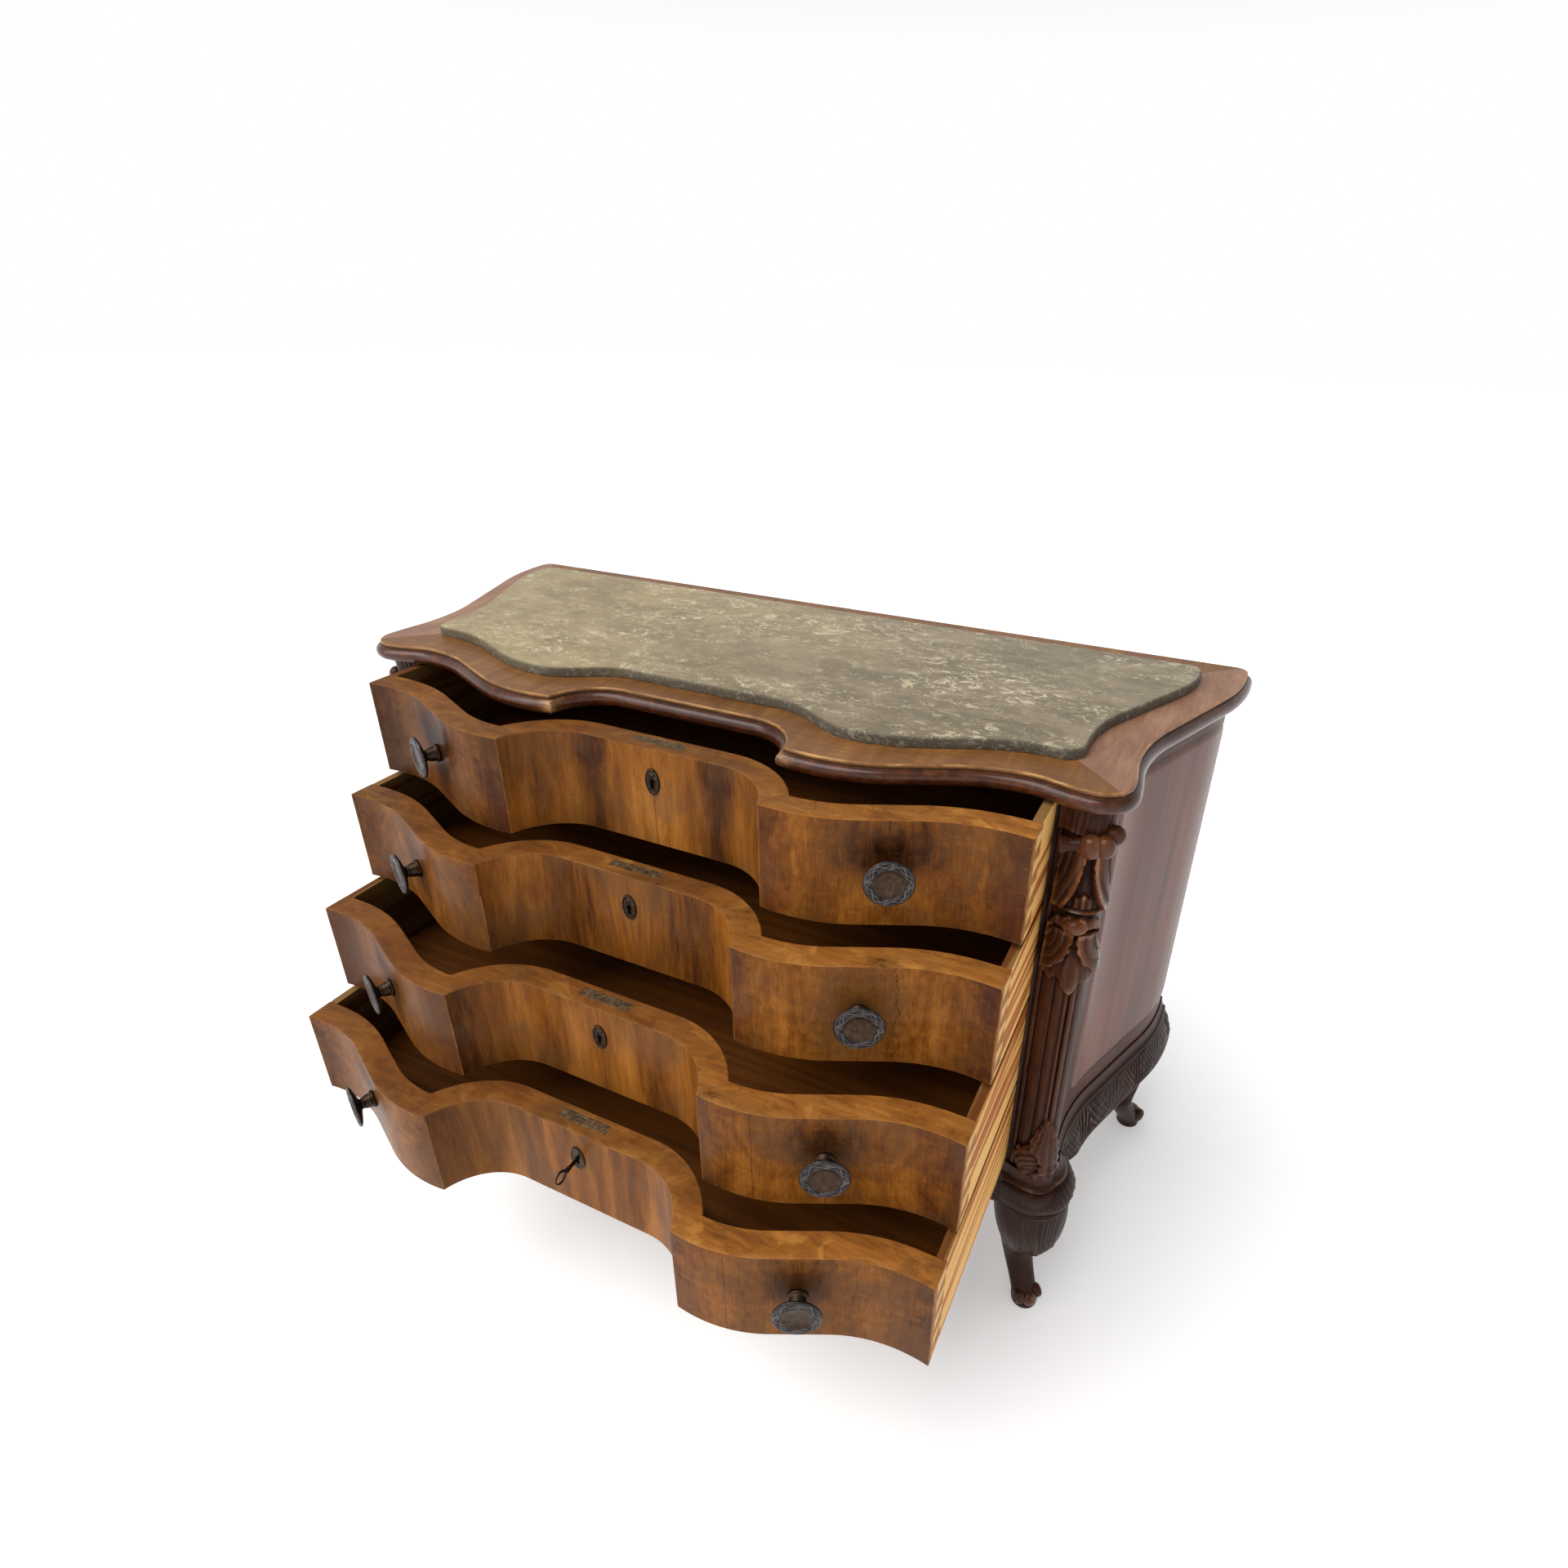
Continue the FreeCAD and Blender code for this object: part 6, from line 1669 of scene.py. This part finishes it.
side_colours = ((228, 182, 110), (208, 146, 72), (160, 88, 32))
pine_finishes = {
    "right_side": pine("striped_pine_right", "y", *side_colours, shade_faces_inside=1),
    "left_side": pine("striped_pine_left", "y", *side_colours, shade_faces_inside=-1),
    # The pine inside the drawers and the case is darker, as painted shade.
    "inside": pine("pine_darkened_as_shade", "x", (122, 70, 22), (90, 49, 14), (62, 31, 8), 0.25),
    "back": plank_back(), "upright": pine("upright_pine", "z", (150, 110, 68), (124, 86, 50), (88, 58, 32), 0.5),
    "runner": pine("runner_pine", "y", (142, 104, 64), (112, 78, 46), (78, 52, 30), 0.8),
    "rail": pine("rail_wood", "x", (104, 70, 40), (84, 54, 31), (60, 37, 22), 0.4)}


# %% [markdown]
# ## Dressing the boards
# A joiner eases every edge of a board with a stroke of the plane. The CAD boards have sharp edges and
# loose triangles; remaking them would lose the frame's exact sizes, so two modifiers join and ease them.

# %% Boards in their wood
def dress(node, finish, soft_edge=0.0007):
    """Gives a CAD node its finish, joins its loose triangles and eases its edges with modifiers."""
    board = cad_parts[node]
    board.data.materials.clear()
    board.data.materials.append(finish)
    weld = board.modifiers.new("join", "WELD")
    weld.merge_threshold = 0.00002
    ease = board.modifiers.new("ease", "BEVEL")
    ease.width, ease.segments = soft_edge, 2
    ease.limit_method, ease.angle_limit = "ANGLE", math.radians(40)


DRAWER_BOARDS = {"right_side": "right_side", "left_side": "left_side", "back": "inside", "bottom": "inside"}
CASE_BOARDS = {
    "back_boards": "back", "left_back_post": "upright", "right_back_post": "upright", "bottom_board": "inside",
    "drawer_rails": "rail", "drawer_runners": "runner", "back_base_rail": "rail"}
for drawer in DRAWERS:
    for board, kind in DRAWER_BOARDS.items():
        dress(f"{drawer}_{board}", pine_finishes[kind])
    dress(f"{drawer}_lock_bolt", iron_finish, 0.0004)
for node, kind in CASE_BOARDS.items():
    dress(node, pine_finishes[kind])
print("boards dressed:", len(DRAWERS) * (len(DRAWER_BOARDS) + 1) + len(CASE_BOARDS))

# %% [markdown]
# ## The white room
# The chest was photographed on a white ground in soft, even light from the left front. A closed studio of
# lamps could be built; a wide pale floor that shines a little, a room that is bright at its horizon, one
# broad sun and one window give the same soft shadow with little noise.

# %% Stage
floor_finish = Finish(
    "pale_floor", Roughness=0.9, Specular_IOR_Level=0.05, Base_Color=(0.93, 0.93, 0.93, 1),
    Emission_Color=(1, 1, 1, 1), Emission_Strength=0.25)
floor_mesh = bpy.data.meshes.new("pale_floor")
floor_mesh.from_pydata([(-30, -30, 0), (30, -30, 0), (30, 30, 0), (-30, 30, 0)], [], [(0, 1, 2, 3)])
floor_mesh.materials.append(floor_finish.material)
floor = bpy.data.objects.new("pale_floor", floor_mesh)
bpy.context.scene.collection.objects.link(floor)

world = bpy.data.worlds.new("soft_room")
bpy.context.scene.world = world
world.use_nodes = True
nodes, links = world.node_tree.nodes, world.node_tree.links
sky = nodes.new("ShaderNodeTexCoord")
height = nodes.new("ShaderNodeSeparateXYZ")
ceiling = nodes.new("ShaderNodeValToRGB")
ceiling.color_ramp.elements[0].position, ceiling.color_ramp.elements[0].color = 0.2, (1, 1, 1, 1)
ceiling.color_ramp.elements[1].position, ceiling.color_ramp.elements[1].color = 0.75, (0.26, 0.26, 0.27, 1)
links.new(sky.outputs["Generated"], height.inputs[0])
links.new(height.outputs["Z"], ceiling.inputs["Fac"])
links.new(ceiling.outputs["Color"], nodes["Background"].inputs["Color"])
nodes["Background"].inputs["Strength"].default_value = 1.0
print("stage:", floor.name, "and", world.name)


# %% [markdown]
# ## Daylight and window
# The light falls softly from the left front. An aimed lamp could use a constraint; its three directions
# are worked out here, as the camera's are.

# %% Lights
def lamp(kind, name, place, aim, **settings):
    """A light that looks from place towards aim."""
    data = bpy.data.lights.new(name, kind)
    for key, value in settings.items():
        setattr(data, key, value)
    made = bpy.data.objects.new(name, data)
    bpy.context.scene.collection.objects.link(made)
    away = np.array(place, float) - np.array(aim, float)
    away = away / np.linalg.norm(away)
    side = np.cross((0, 0, 1), away)
    side = side / np.linalg.norm(side)
    made.matrix_world = Matrix((side, np.cross(away, side), away)).transposed().to_4x4()
    made.location = place


lamp("SUN", "even_daylight", (-1.6, -1.8, 4.0), (0, 0, 0), energy=2.6, angle=math.radians(50))
lamp("AREA", "left_window", (-2.4, -2.2, 2.2), (0, 0, 0.5), energy=22, size=1.6)
bpy.context.scene.view_settings.view_transform = "Standard"
print("lights:", [light.name for light in bpy.data.lights])
